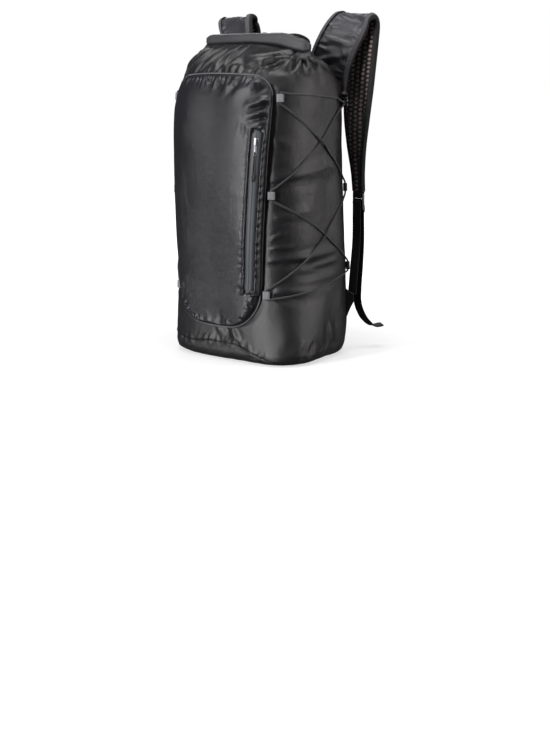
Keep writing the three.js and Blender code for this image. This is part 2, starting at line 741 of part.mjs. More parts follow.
// Turned about the lock's own axis, which stands along its frame's up direction
function turnedPiece(frame, profile) {
  const points = profile.map(([radius, height]) => new THREE.Vector2(radius, height));
  const geometry = new THREE.LatheGeometry(points, ROUND_SIDES);
  geometry.rotateX(Math.PI / 2);
  return placeInFrame(geometry, frame.out, frame.round, frame.up, frame.middle);
}

function slotCutter(frame, width, low, high) {
  const geometry = new THREE.BoxGeometry(LOCK_DIAMETER * 2, width, high - low);
  geometry.translate(0, 0, (low + high) / 2);
  return placeInFrame(geometry, frame.round, frame.out, frame.up, frame.middle);
}

const LOCK_HOLE_WIDTH = CORD_DIAMETER + CORD_GAP * 2;
const LOCK_HOLE_HALF = STRAND_STEP / 2 + CORD_DIAMETER / 2 + CORD_GAP;

function lockBarrel(frame) {
  const half = LOCK_HEIGHT / 2;
  const bore = PLUNGER_DIAMETER / 2 + SLIDE_GAP;
  const rim = LOCK_DIAMETER / 2;
  const profile = [
    [0, -half], [rim - LOCK_EDGE, -half], [rim, -half + LOCK_EDGE],
    [rim, half - LOCK_EDGE], [rim - LOCK_EDGE, half],
    [bore, half], [bore, -half + LOCK_FLOOR], [0, -half + LOCK_FLOOR],
  ];
  const hole = slotCutter(frame, LOCK_HOLE_WIDTH, -LOCK_HOLE_HALF, LOCK_HOLE_HALF);
  return cutAway(turnedPiece(frame, profile), [hole]);
}

function lockPlunger(frame) {
  const half = LOCK_HEIGHT / 2;
  const radius = PLUNGER_DIAMETER / 2;
  const low = -half + LOCK_FLOOR + PLUNGER_TRAVEL + SLIDE_GAP;
  const neck = half + PLUNGER_STAND;
  const top = neck + PLUNGER_CAP_HEIGHT;
  const cap = PLUNGER_CAP / 2;
  const profile = [
    [0, low], [radius, low], [radius, neck], [cap, neck],
    [cap, top - LOCK_EDGE], [cap - LOCK_EDGE, top], [0, top],
  ];
  const hole = slotCutter(frame, LOCK_HOLE_WIDTH, -LOCK_HOLE_HALF,
    LOCK_HOLE_HALF + PLUNGER_TRAVEL);
  return cutAway(turnedPiece(frame, profile), [hole]);
}

// The cord's route on one side, from holder to holder over the cloth. Turn is the angle on
// the body, z the height and lift how far the cord's middle stands off the cloth
function cordRoute(side) {
  const frame = lockFrame(side);
  const rest = CORD_DIAMETER / 2 + CORD_LIFT;
  const over = rest + CORD_DIAMETER + CORD_GAP * 2;
  const at = (holder, shift) => ({
    turn: holderAngle(holder, side), z: holder.z + shift, lift: LOOP_STAND,
  });
  const { frontUpper, frontMiddle, frontLower, backUpper, backMiddle, backLower } = HOLDERS;
  const exit = LOOP_LENGTH / 2 + LOOP_EXIT;
  const lead = LOCK_DIAMETER / 2 + LOCK_EXIT;
  const points = [];
  const onSkin = ({ turn, z, lift }) => points.push(sideFrame(turn, z, lift, side).middle);
  const leg = (from, to, lifts) => {
    lifts.forEach((lift, step) => {
      const share = (step + 1) / (lifts.length + 1);
      onSkin({
        turn: from.turn + (to.turn - from.turn) * share,
        z: from.z + (to.z - from.z) * share,
        lift,
      });
    });
  };
  const pass = (holder, direction) => {
    onSkin(at(holder, direction * exit));
    onSkin(at(holder, 0));
    onSkin(at(holder, -direction * exit));
  };
  const strand = STRAND_STEP / 2;
  points.push(lockPlace(frame, lead, strand));
  points.push(lockPlace(frame, 0, strand));
  points.push(lockPlace(frame, -lead, strand));
  const lockAngle = BACK_ANGLE - THREE.MathUtils.radToDeg(LOCK_LEAD * 2 / (BODY_WIDTH / 2));
  leg({ turn: lockAngle, z: backUpper.z + LOCK_HEIGHT / 4 }, at(frontUpper, exit),
    [rest + CORD_RISE, rest, rest]);
  pass(frontUpper, 1);
  leg(at(frontUpper, -exit), at(backMiddle, exit), [rest, rest, over, over, rest, rest]);
  pass(backMiddle, 1);
  leg(at(backMiddle, -exit), at(frontLower, exit), [rest, rest, rest, over, over, rest, rest]);
  pass(frontLower, 1);
  leg(at(frontLower, -exit), at(backLower, -exit), [rest + CORD_RISE, rest, rest, rest]);
  pass(backLower, -1);
  leg(at(backLower, exit), at(frontMiddle, -exit), [rest, rest, rest, rest, rest]);
  pass(frontMiddle, -1);
  leg(at(frontMiddle, exit), { turn: lockAngle, z: backUpper.z - LOCK_HEIGHT * 0.75 },
    [rest, rest, rest, rest, rest + CORD_RISE]);
  points.push(lockPlace(frame, -lead, -strand));
  points.push(lockPlace(frame, 0, -strand));
  points.push(lockPlace(frame, lead, -strand));
  return points;
}

function sideCord(side) {
  const points = cordRoute(side);
  const curve = new THREE.CatmullRomCurve3(points, true, 'centripetal');
  const line = [];
  points.forEach((point, i) => {
    const length = point.distanceTo(points[(i + 1) % points.length]);
    const splits = Math.max(1, Math.round(length / CORD_SPLIT));
    for (let k = 0; k < splits; k += 1) {
      line.push(curve.getPoint((i + k / splits) / points.length));
    }
  });
  return closedTube(line, CORD_DIAMETER / 2, CORD_SIDES);
}

// Stations of the right strap from its root on the shoulder over the bend to the buckle: spread
// as a share of half STRAP_SPREAD, back of STRAP_BACK, height of STRAP_TOP, width of STRAP_WIDTH
const STRAP_STATIONS = [
  { spread: 0.644, back: 0.412, height: 0.824, width: 1, turn: 15 },
  { spread: 0.712, back: 0.515, height: 0.858, width: 1, turn: 15 },
  { spread: 0.797, back: 0.619, height: 0.908, width: 1, turn: 15 },
  { spread: 0.881, back: 0.701, height: 0.952, width: 1, turn: 14 },
  { spread: 0.965, back: 0.784, height: 0.985, width: 1, turn: 10 },
  { spread: 1.005, back: 0.866, height: 0.999, width: 1, turn: 4 },
  { spread: 1.018, back: 0.943, height: 0.994, width: 1, turn: -3 },
  { spread: 1.02, back: 0.99, height: 0.973, width: 1, turn: -8 },
  { spread: 1.015, back: 1, height: 0.935, width: 1, turn: -12 },
  { spread: 1, back: 0.98, height: 0.872, width: 1, turn: -13 },
  { spread: 1, back: 0.938, height: 0.795, width: 0.95, turn: -14 },
  { spread: 1, back: 0.897, height: 0.709, width: 0.82, turn: -14 },
  { spread: 1, back: 0.897, height: 0.623, width: 0.6, turn: -14 },
  { spread: 1, back: 0.938, height: 0.546, width: 0.41, turn: -14 },
  { spread: 1, back: 0.969, height: 0.4853, width: 0.36, turn: -14 },
];
const STRAP_TURN = THREE.MathUtils.degToRad(STRAP_STATIONS.at(-1).turn);

function strapCurve() {
  const points = STRAP_STATIONS.map((row) => new THREE.Vector3(
    row.spread * STRAP_SPREAD / 2, row.back * STRAP_BACK, row.height * STRAP_TOP));
  return new THREE.CatmullRomCurve3(points, false, 'centripetal');
}

function strapStation(share, key) {
  const place = share * (STRAP_STATIONS.length - 1);
  const row = Math.min(Math.floor(place), STRAP_STATIONS.length - 2);
  const from = STRAP_STATIONS[row][key];
  return from + (STRAP_STATIONS[row + 1][key] - from) * (place - row);
}

function strapWidthAt(share) {
  return Math.max(strapStation(share, 'width') * STRAP_WIDTH, STRAP_END_WIDTH);
}

function strapFrames() {
  const curve = strapCurve();
  const frames = [];
  for (let i = 0; i <= STRAP_STEPS; i += 1) {
    const share = i / STRAP_STEPS;
    const tangent = curve.getTangent(share);
    const turn = THREE.MathUtils.degToRad(strapStation(share, 'turn'));
    const width = new THREE.Vector3(Math.cos(turn), Math.sin(turn), 0);
    width.addScaledVector(tangent, -width.dot(tangent)).normalize();
    const face = new THREE.Vector3().crossVectors(width, tangent).normalize();
    frames.push({ share, middle: curve.getPoint(share), width, face });
  }
  return frames;
}

// The strap's upper end is cut where it meets the bag's shoulder
function seatedStrip(outlineOf, side) {
  const whole = strip(strapFrames(), outlineOf);
  return cutAway(side > 0 ? whole : mirrored(whole), [bodyEnvelope()]);
}

function bodyEnvelope() {
  const shares = SECTIONS.map((row) => row.height);
  return loft(shares.map((share) => bodyRing(share, -SEAM_GAP)));
}

function padOutline(share) {
  const half = strapWidthAt(share) / 2 - BINDING_THICK - LAYER_GAP;
  const inner = half - BINDING_WIDTH;
  const edge = STRAP_MESH;
  return [
    [-half, edge], [-inner, STRAP_FOAM], [inner, STRAP_FOAM], [half, edge],
    [half, 0], [inner, 0], [-inner, 0], [-half, 0],
  ];
}

function meshOutline(share) {
  const half = strapWidthAt(share) / 2 - BINDING_THICK - LAYER_GAP;
  const inner = half - BINDING_WIDTH;
  const top = -LAYER_GAP;
  const under = top - STRAP_MESH;
  return [
    [half, top], [inner, top], [-inner, top], [-half, top],
    [-half, under], [-inner, under], [inner, under], [half, under],
  ];
}

// One side of the binding: tape folded round the edge of the pad and its mesh
function bindingOutline(share, side) {
  const outer = strapWidthAt(share) / 2;
  const inner = outer - BINDING_WIDTH;
  const skin = outer - BINDING_THICK;
  const top = STRAP_FOAM + LAYER_GAP;
  const shoulder = STRAP_MESH + LAYER_GAP * 2;
  const under = -STRAP_MESH - LAYER_GAP * 2;
  const outline = [
    [inner, top], [skin, shoulder], [skin, under], [inner, under],
    [inner, under - BINDING_THICK], [outer, under - BINDING_THICK],
    [outer, shoulder + BINDING_THICK], [inner, top + BINDING_THICK],
  ];
  const placed = outline.map(([across, out]) => [across * side, out]);
  return side > 0 ? placed : placed.reverse();
}

function outerBinding(share) {
  return bindingOutline(share, 1);
}

function innerBinding(share) {
  return bindingOutline(share, -1);
}

// Webbing from the anchor up through the buckle, over its middle bar and down as a free tail
function lockMiddle() {
  return new THREE.Vector3(
    STRAP_STATIONS.at(-1).spread * STRAP_SPREAD / 2,
    STRAP_STATIONS.at(-1).back * STRAP_BACK,
    STRAP_STATIONS.at(-1).height * STRAP_TOP - LADDER_DROP - LADDER_LENGTH / 2,
  );
}

const turnedWidth = new THREE.Vector3(Math.cos(STRAP_TURN), Math.sin(STRAP_TURN), 0);
const turnedFace = new THREE.Vector3(-Math.sin(STRAP_TURN), Math.cos(STRAP_TURN), 0);
const upright = new THREE.Vector3(0, 0, 1);

// Ladder buckle: a flat frame with two slots either side of a middle bar
function ladderLock() {
  const outline = roundedShape(LADDER_WIDTH, LADDER_LENGTH, LADDER_CORNER);
  const slotWidth = WEB_WIDTH + LADDER_SIDE_GAP * 2;
  const slotRise = (LADDER_BAR + LADDER_SLOT) / 2;
  [slotRise, -slotRise].forEach((rise) => {
    const slot = new THREE.Path();
    slot.moveTo(-slotWidth / 2, rise - LADDER_SLOT / 2);
    slot.lineTo(-slotWidth / 2, rise + LADDER_SLOT / 2);
    slot.lineTo(slotWidth / 2, rise + LADDER_SLOT / 2);
    slot.lineTo(slotWidth / 2, rise - LADDER_SLOT / 2);
    outline.holes.push(slot);
  });
  const geometry = new THREE.ExtrudeGeometry(outline, {
    depth: LADDER_THICK, bevelEnabled: false, curveSegments: 2,
  });
  geometry.translate(0, 0, -LADDER_THICK / 2);
  return placeInFrame(geometry, turnedWidth, upright, turnedFace, lockMiddle());
}

// A band that closes on itself round a bar, as wide as given, at a middle point
function barLoop(middle, width, holeHeight, holeDepth, thick) {
  const outline = cutCorners(holeDepth + thick * 2, holeHeight + thick * 2, thick);
  outline.holes.push(cutCorners(holeDepth, holeHeight, thick * 0.3));
  const geometry = new THREE.ExtrudeGeometry(outline, {
    depth: width, bevelEnabled: false, curveSegments: 2,
  });
  geometry.translate(0, 0, -width / 2);
  return placeInFrame(geometry, turnedFace, upright, turnedWidth, middle);
}

// The strap's end is folded through the buckle's upper slot, round its top bar
function strapTab() {
  const bar = (LADDER_LENGTH - LADDER_BAR - LADDER_SLOT * 2) / 2;
  const hole = bar + SEAM_GAP * 2;
  const middle = lockMiddle();
  middle.z += LADDER_LENGTH / 2 - bar / 2;
  return barLoop(middle, WEB_WIDTH, hole, LADDER_THICK + SEAM_GAP * 2, WEB_THICK);
}

// Offsets of the webbing's line from the buckle's middle: out along its face, and up
function strapWebbing(side) {
  const skin = LADDER_THICK / 2 + SEAM_GAP * 2 + WEB_THICK / 2;
  const start = lockMiddle();
  const at = (out, up, across) => start.clone()
    .addScaledVector(turnedFace, out)
    .addScaledVector(upright, up)
    .addScaledVector(turnedWidth, across);
  const slot = (LADDER_BAR + LADDER_SLOT) / 2;
  const over = LADDER_BAR / 2 + SEAM_GAP * 4 + WEB_THICK / 2;
  const onBuckle = [
    at(-skin, -LADDER_LENGTH * 2, 0),
    at(-skin, -LADDER_LENGTH * 0.64, 0),
    at(-skin, -slot, 0),
    at(-skin, over * 0.3, 0),
    at(-skin * 0.72, over * 0.85, 0),
    at(0, over, 0),
    at(skin * 0.72, over * 0.85, 0),
    at(skin, over * 0.3, 0),
    at(skin, -slot, 0),
    at(skin, -LADDER_LENGTH * 0.7, 0),
    ...TAIL_STATIONS.map((row) => at(
      skin + row.out * TAIL_REACH, -row.drop * TAIL_DROP, row.across * TAIL_REACH)),
  ].map((point) => point.setX(point.x * side));
  const anchor = anchorTip(side);
  const points = [anchor, anchor.clone().lerp(onBuckle[0], 0.35), ...onBuckle];
  const flat = turnedWidth.clone().setX(turnedWidth.x * side);
  const curve = new THREE.CatmullRomCurve3(points, false, 'centripetal');
  const frames = [];
  for (let i = 0; i <= WEB_STEPS; i += 1) {
    const share = i / WEB_STEPS;
    const tangent = curve.getTangent(share);
    const width = flat.clone().addScaledVector(tangent, -flat.dot(tangent)).normalize();
    const face = new THREE.Vector3().crossVectors(width, tangent).normalize();
    frames.push({ share, middle: curve.getPoint(share), width, face });
  }
  return strip(frames, flatOutline(WEB_WIDTH, WEB_THICK));
}

// The free tail below the buckle: out and across as shares of TAIL_REACH, drop of TAIL_DROP
const TAIL_STATIONS = [
  { out: 0.016, drop: 0.299, across: 0 },
  { out: 0.026, drop: 0.522, across: -0.079 },
  { out: 0.026, drop: 0.697, across: -0.158 },
  { out: 0.053, drop: 0.796, across: -0.184 },
  { out: 0.184, drop: 0.886, across: -0.132 },
  { out: 0.368, drop: 0.955, across: 0 },
  { out: 0.632, drop: 1, across: 0.158 },
  { out: 1, drop: 0.995, across: 0.316 },
];

function anchorTip(side) {
  const frame = sideFrame(ANCHOR_ANGLE, ANCHOR_HEIGHT + ANCHOR_TIP_RISE,
    TAB_REACH - ANCHOR_TIP_IN, side);
  return frame.middle.addScaledVector(frame.round, ANCHOR_TIP_IN + WEB_THICK);
}

// The webbing is sewn to a cloth triangle that stands out of the bag's lower side seam
function anchorTab(side) {
  const rings = [
    { stand: -CLOTH, low: -TAB_HEIGHT / 2, high: TAB_HEIGHT / 2 },
    { stand: TAB_REACH * 0.5, low: -TAB_HEIGHT * 0.14, high: TAB_HEIGHT * 0.45 },
    { stand: TAB_REACH, low: TAB_HEIGHT * 0.12, high: TAB_HEIGHT * 0.4 },
  ].map((row) => {
    const corner = (rise, face) => {
      const frame = sideFrame(ANCHOR_ANGLE, ANCHOR_HEIGHT + rise, row.stand, side);
      return frame.middle.addScaledVector(frame.round, (face * TAB_THICK) / 2);
    };
    return [corner(row.low, -1), corner(row.low, 1), corner(row.high, 1), corner(row.high, -1)];
  });
  return cutAway(loft(rings), [bodyEnvelope()]);
}

const CLOSURE_HEIGHT = BODY_HEIGHT + CLOSURE_WEB_WIDTH / 2 + CLOSURE_WEB_LIFT + MOUTH_RISE / 5;

// The closure strap runs from each end of the roll to a clipped buckle behind it
function closureWebbing(side) {
  const z = CLOSURE_HEIGHT;
  const end = ROLL_LENGTH / 2;
  const low = z - CLOSURE_WEB_LIFT + mouthRise(side * end);
  const near = CLOSURE_BUCKLE_LENGTH / 2 + SEAM_GAP;
  const back = rollLine(0.88) + ROLL_DEPTH * 0.43 + ROLL_GAP + CLOSURE_WEB_THICK / 2;
  const points = [
    new THREE.Vector3(end * 0.84, back, low),
    new THREE.Vector3(end * 0.875, back + CLOSURE_HOOK, low),
    new THREE.Vector3(end * 0.86, back + CLOSURE_TURN, (low * 3 + z) / 4),
    new THREE.Vector3(end * 0.72, CLOSURE_REACH * 0.78, (low + z * 3) / 4),
    new THREE.Vector3(end * 0.5, CLOSURE_REACH * 0.95, z),
    new THREE.Vector3(near, CLOSURE_REACH, z),
  ].map((point) => point.setX(point.x * side));
  const curve = new THREE.CatmullRomCurve3(points, false, 'centripetal');
  const rings = [];
  const steps = 10;
  for (let i = 0; i <= steps; i += 1) {
    const middle = curve.getPoint(i / steps);
    const tangent = curve.getTangent(i / steps);
    const face = new THREE.Vector3().crossVectors(tangent, upright).normalize();
    rings.push(flatOutline(CLOSURE_WEB_THICK, CLOSURE_WEB_WIDTH)()
      .map(([out, up]) => middle.clone().addScaledVector(face, out).addScaledVector(upright, up)));
  }
  return loft(rings);
}

function closureBuckle() {
  const outline = roundedShape(CLOSURE_BUCKLE_LENGTH, CLOSURE_BUCKLE_HEIGHT,
    CLOSURE_BUCKLE_CORNER);
  const geometry = new THREE.ExtrudeGeometry(outline, {
    depth: CLOSURE_BUCKLE_THICK, bevelEnabled: false, curveSegments: 2,
  });
  geometry.translate(0, 0, -CLOSURE_BUCKLE_THICK / 2);
  geometry.rotateX(Math.PI / 2);
  geometry.translate(0, CLOSURE_REACH, CLOSURE_HEIGHT);
  return geometry;
}

// Both copies of a piece that the bag has on its right and on its left
function addPair(name, shapeOn, finish) {
  addPiece(`${name}_right`, shapeOn(1), finish);
  addPiece(`${name}_left`, shapeOn(-1), finish);
}

function copiesOf(geometry) {
  return (side) => (side > 0 ? geometry : mirrored(geometry));
}

addPiece('body_shell', bodyShell(), 'nylon');
addPiece('base_panel', basePanel(), 'nylon');
addPiece('roll_top', rollTop(), 'nylon');
addPair('closure_webbing', closureWebbing, 'webbing');
addPiece('closure_buckle', closureBuckle(), 'buckle');
addPiece('front_pocket', frontPocket(), 'pocket');
addPiece('pocket_piping', pocketPiping(), 'piping');
addPiece('pocket_zip', pocketZip(), 'tape');
addPiece('zip_slider', zipSlider(), 'metal');
addPiece('zip_puller', zipPuller(), 'metal');
addPiece('zip_pull_cord', zipPullCord(), 'cord');
for (const [place, name] of [['Upper', 'upper'], ['Middle', 'middle'], ['Lower', 'lower']]) {
  addPair(`front_loop_${name}`, (side) => cordLoop(HOLDERS[`front${place}`], side), 'loop');
  addPair(`back_loop_${name}`, (side) => cordLoop(HOLDERS[`back${place}`], side), 'webbing');
}
addPair('side_cord', sideCord, 'cord');
addPair('cord_lock_barrel', (side) => lockBarrel(lockFrame(side)), 'buckle');
addPair('cord_lock_plunger', (side) => lockPlunger(lockFrame(side)), 'buckle');
addPair('strap_pad', (side) => seatedStrip(padOutline, side), 'strap');
addPair('strap_mesh', (side) => seatedStrip(meshOutline, side), 'mesh');
addPair('strap_binding_outer', (side) => seatedStrip(outerBinding, side), 'binding');
addPair('strap_binding_inner', (side) => seatedStrip(innerBinding, side), 'binding');
addPair('strap_tab', copiesOf(strapTab()), 'webbing');
addPair('ladder_lock', copiesOf(ladderLock()), 'buckle');
addPair('strap_webbing', strapWebbing, 'webbing');
addPair('anchor_tab', anchorTab, 'nylon');

export default pack;
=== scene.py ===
import math

import bmesh
import bpy
import numpy as np
from bpy.props import FloatProperty, FloatVectorProperty, PointerProperty
from mathutils import Matrix, Vector, noise


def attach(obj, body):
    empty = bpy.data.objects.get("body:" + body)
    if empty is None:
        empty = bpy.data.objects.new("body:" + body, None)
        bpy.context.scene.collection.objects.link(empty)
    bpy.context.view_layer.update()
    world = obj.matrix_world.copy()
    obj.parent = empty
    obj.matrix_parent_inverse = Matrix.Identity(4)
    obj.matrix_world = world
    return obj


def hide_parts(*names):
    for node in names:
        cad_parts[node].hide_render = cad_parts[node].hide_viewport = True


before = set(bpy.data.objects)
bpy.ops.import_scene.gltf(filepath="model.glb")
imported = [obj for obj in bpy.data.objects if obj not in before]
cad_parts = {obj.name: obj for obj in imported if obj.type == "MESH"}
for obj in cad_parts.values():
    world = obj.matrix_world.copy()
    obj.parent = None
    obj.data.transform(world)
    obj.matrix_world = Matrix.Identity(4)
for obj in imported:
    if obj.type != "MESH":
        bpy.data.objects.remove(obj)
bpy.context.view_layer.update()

bl_info = {
    "name": "Packable backpack",
    "version": (1, 0, 0),
    "blender": (4, 5, 0),
    "location": "3D View > Sidebar > Backpack",
    "description": "Dresses the frame of a roll-top backpack in cloth, webbing and cord",
    "category": "Add Mesh",
}

BODY = "pack"
MM = 0.001
SIDES = (("right", 1), ("left", -1))

# Sizes in millimetres, as in the solids
BODY_HEIGHT = 477
BODY_WIDTH = 260
BODY_FRONT = 112
BODY_BACK = 98
MOUTH_RISE = 6
CLOTH = 2
ROLL_LENGTH = 204
ROLL_HEIGHT = 21
ROLL_DEPTH = 17
ROLL_SWEEP = 9
ROLL_AHEAD = 15
CLOSURE_WEB_WIDTH = 16
CLOSURE_WEB_THICK = 1.6
CLOSURE_REACH = 28
CLOSURE_BUCKLE = (44, 9, 23)
CLOSURE_HEIGHT = BODY_HEIGHT + CLOSURE_WEB_WIDTH / 2 + 4 + MOUTH_RISE / 5
POCKET_TOP = 434
POCKET_BOTTOM = 54
POCKET_TOP_WIDTH = 189
POCKET_BOTTOM_WIDTH = 153
POCKET_TOP_CORNER = 34
POCKET_BOTTOM_CORNER = 52
POCKET_DEPTH = 9
PIPING_RADIUS = 0.9
GROOVE_DEPTH = 2.2
GROOVE_REACH = 7
CORNER_FULL = 13
CORNER_TURN = -30
CORNER_SPREAD = 33
ZIP_TOP = 354
ZIP_BOTTOM = 112
ZIP_OFFSET = 72
ZIP_SLANT = 0.055
ZIP_WIDTH = 13
LOOP_STAND = 3.5
LOOP_LENGTH = 12
LOOP_REACH = 11
LOOP_STRAP = 1.1
LOCK_DIAMETER = 12
LOCK_HEIGHT = 16
LOCK_LEAD = 17
LOCK_TILT = 24
STRAND_STEP = 3.3
BACK_ANGLE = 37
STRAP_WIDTH = 70
STRAP_END_WIDTH = 25
STRAP_FOAM = 6
STRAP_MESH = 2
LAYER_GAP = 0.5
BINDING_WIDTH = 7
BINDING_THICK = 1
STRAP_TOP = 522
STRAP_SPREAD = 242
STRAP_BACK = 97
LADDER_WIDTH = 24.5
LADDER_LENGTH = 29
LADDER_THICK = 4.5
LADDER_BAR = 4
LADDER_SLOT = 6.5
WEB_WIDTH = 20
WEB_THICK = 1.5
TAB_HEIGHT = 55
TAB_REACH = 13
ANCHOR_HEIGHT = 77
ANCHOR_ANGLE = 33
TAIL_DROP = 201
TAIL_REACH = 38

# The body's sections, as shares of its sizes; fore and aft square off its front and back
SECTION_COLUMNS = ("height", "width", "front", "back", "fore", "aft", "aside", "ahead")
SECTIONS = np.array([
    (0, 0.86, 0.8, 0.8, 3.7, 3.6, 0.022, 0.07),
    (0.008, 0.93, 0.87, 0.9, 3.7, 3.6, 0.022, 0.07),
    (0.025, 0.965, 0.92, 0.955, 3.6, 3.6, 0.02, 0.065),
    (0.05, 0.98, 0.93, 0.985, 3.5, 3.6, 0.016, 0.05),
    (0.094, 0.995, 0.935, 0.995, 3.3, 3.6, 0.01, 0.03),
    (0.16, 1, 0.94, 1, 3.1, 3.5, 0.005, 0.015),
    (0.25, 1, 0.95, 0.98, 2.9, 3.4, 0, 0),
    (0.38, 1, 0.985, 0.935, 2.8, 3.3, 0, 0),
    (0.54, 0.982, 1, 0.9, 2.8, 3.3, 0, 0),
    (0.69, 0.96, 1, 0.905, 2.8, 3.2, 0, 0),
    (0.8, 0.958, 0.985, 0.92, 2.7, 3.1, 0, 0),
    (0.85, 0.962, 0.965, 0.92, 2.7, 3, 0, 0),
    (0.89, 0.957, 0.915, 0.88, 2.6, 3, 0, 0.01),
    (0.922, 0.943, 0.83, 0.8, 2.6, 2.8, 0, 0.03),
    (0.948, 0.917, 0.69, 0.67, 2.5, 2.6, 0, 0.055),
    (0.968, 0.885, 0.5, 0.49, 2.3, 2.4, 0, 0.075),
    (0.985, 0.84, 0.29, 0.29, 2.2, 2.2, 0, 0.09),
    (1, 0.79, 0.1, 0.115, 2, 2, 0, 0.1),
])

# Wide folds that the solids have too: turn round the body and lean in degrees, low and high
# as shares of its height, spread in degrees, depth as a share of its width
# Columns: turn, low, high, spread, depth, lean
FOLDS = [
    (-78, 0.918, 0.99, 6, -0.02, 26),
    (-62, 0.918, 0.99, 5, 0.014, 22),
    (-50, 0.918, 0.99, 5, -0.022, 18),
    (-36, 0.918, 0.99, 5, 0.014, 12),
    (-24, 0.918, 0.98, 6, -0.022, 6),
    (-112, 0.918, 0.99, 6, -0.012, -8),
    (-136, 0.89, 0.98, 7, -0.014, -10),
    (36, 0.88, 0.98, 8, -0.014, -10),
    (90, 0.88, 0.98, 9, -0.016, 0),
    (144, 0.88, 0.98, 8, -0.014, 10),
    (3, 0.3, 0.62, 16, -0.012, -8),
    (177, 0.3, 0.62, 16, -0.012, 8),
    (-88, 0.045, 0.13, 5, -0.014, -4),
    (-8, 0.06, 0.24, 12, 0.008, -10),
]

# Creases of the body cloth: from a turn and height to another, in degrees and millimetres;
# width and depth in millimetres, a minus sign for a valley; fade 1 is deepest at the start
# Columns: turn, height, to turn, to height, width, depth, fade
CREASES = [
    (-38, 474, -88, 450, 4.2, -9, 0.9),
    (-42, 471, -80, 446, 4, 6, 0.9),
    (-41, 467, -68, 441, 4, -8, 0.9),
    (-41, 464, -59, 443, 4, 6, 1),
    (-37, 467, -57, 440, 3.4, -8.2, 1),
    (-36, 468, -46, 440, 8, 5.2, 1),
    (-32, 466, -36.5, 441, 3.4, -7.5, 1),
    (-29, 465, -25, 442, 5.8, 4.5, 1),
    (-24, 466, -17, 450, 4, -8.2, 1),
    (-22, 464, -11, 444, 4.6, 5.2, 1),
    (-14, 468, -5, 449, 3.4, -4.5, 1),
    (-8, 467, 6, 447, 4.6, 4.5, 1),
    (2, 470, 16, 450, 5.8, -4.5, 1),
    (-100.6, 473, -96.4, 436, 3, 3.1, 0.5),
    (-97.4, 472, -92.6, 442, 2.6, -3.1, 0.5),
    (-93.7, 470, -91, 447, 2.6, 2.6, 0.5),
    (-88, 472, -88, 450, 3, -2.1, 0.5),
    (-107, 471, -110, 442, 4, -2.6, 0.5),
    (-118, 472, -124, 446, 5, 3.1, 0.7),
    (-128, 470, -134, 445, 4, -3.9, 0.8),
    (-139, 468, -147, 445, 5, 3.9, 0.8),
    (-150, 468, -160, 446, 4, -4.4, 0.9),
    (-164, 468, -175, 448, 5, 3.9, 0.9),
    (172, 468, 160, 444, 4, -3.9, 0.9),
    (160, 470, 140, 440, 5, 3.4, 0.8),
    (150, 470, 128, 438, 4, -3.9, 0.8),
    (118, 472, 110, 440, 5, 2.9, 0.6),
    (104, 472, 99, 436, 4, -3.1, 0.6),
    (80, 472, 84, 440, 5, 2.6, 0.6),
    (66, 472, 74, 436, 4, -3.4, 0.6),
    (44, 470, 58, 440, 5, 3.4, 0.8),
    (30, 470, 46, 442, 4, -3.9, 0.8),
    (14, 470, 30, 446, 5, 3.4, 0.9),
    (-86, 57, -80, 29, 4, -4.6, 0.3),
    (-79, 57, -73, 30, 3.6, 3.8, 0.3),
    (-92, 56, -88, 36, 4, 2.4, 0.5),
    (-51, 160, 22, 168, 6, 2.6, 0.6),
    (-52, 153, -20, 157, 4, -2, 0.7),
    (-44, 154.6, -34, 155, 3, 1.6, 0.5),
    (-49, 192, -38, 202, 3, 1.6, 0.7),
    (-49, 178, -33, 181, 3, 1.6, 0.7),
    (-37, 124, 21, 131, 6, 1.8, 0.3),
    (-18, 148, 19, 152, 4, 1.6, 0),
    (-48, 113, 18, 113, 8, 1.9, 0.7),
    (-48, 105, -24, 98, 6, -2.7, 0.8),
    (-48, 281, 23, 304, 9, 2.4, 0.4),
    (-50, 272, -18, 284, 6, -1.6, 0.8),
    (-46, 225, -12, 236, 7, 1.4, 0.6),
    (-50, 345, -30, 330, 6, 1.6, 0.8),
    (2, 60, 10, 26, 7, 2.4, 0.2),
    (-30, 40, -38, 12, 6, 2.2, 0.2),
    (-20, 36, -24, 12, 4, -1.9, 0.2),
]
MIRRORED_FROM = 36

# The body's seam with its base: turn in degrees and height in millimetres
BASE_SEAM = [(-180, 20), (-150, 24), (-130, 26), (-115, 24), (-95, 28), (-78, 27.5), (-66, 20),
             (-57, 11), (-48, 4), (-35, 2.4), (0, 2.4), (30, 6), (60, 18), (120, 24), (180, 20)]

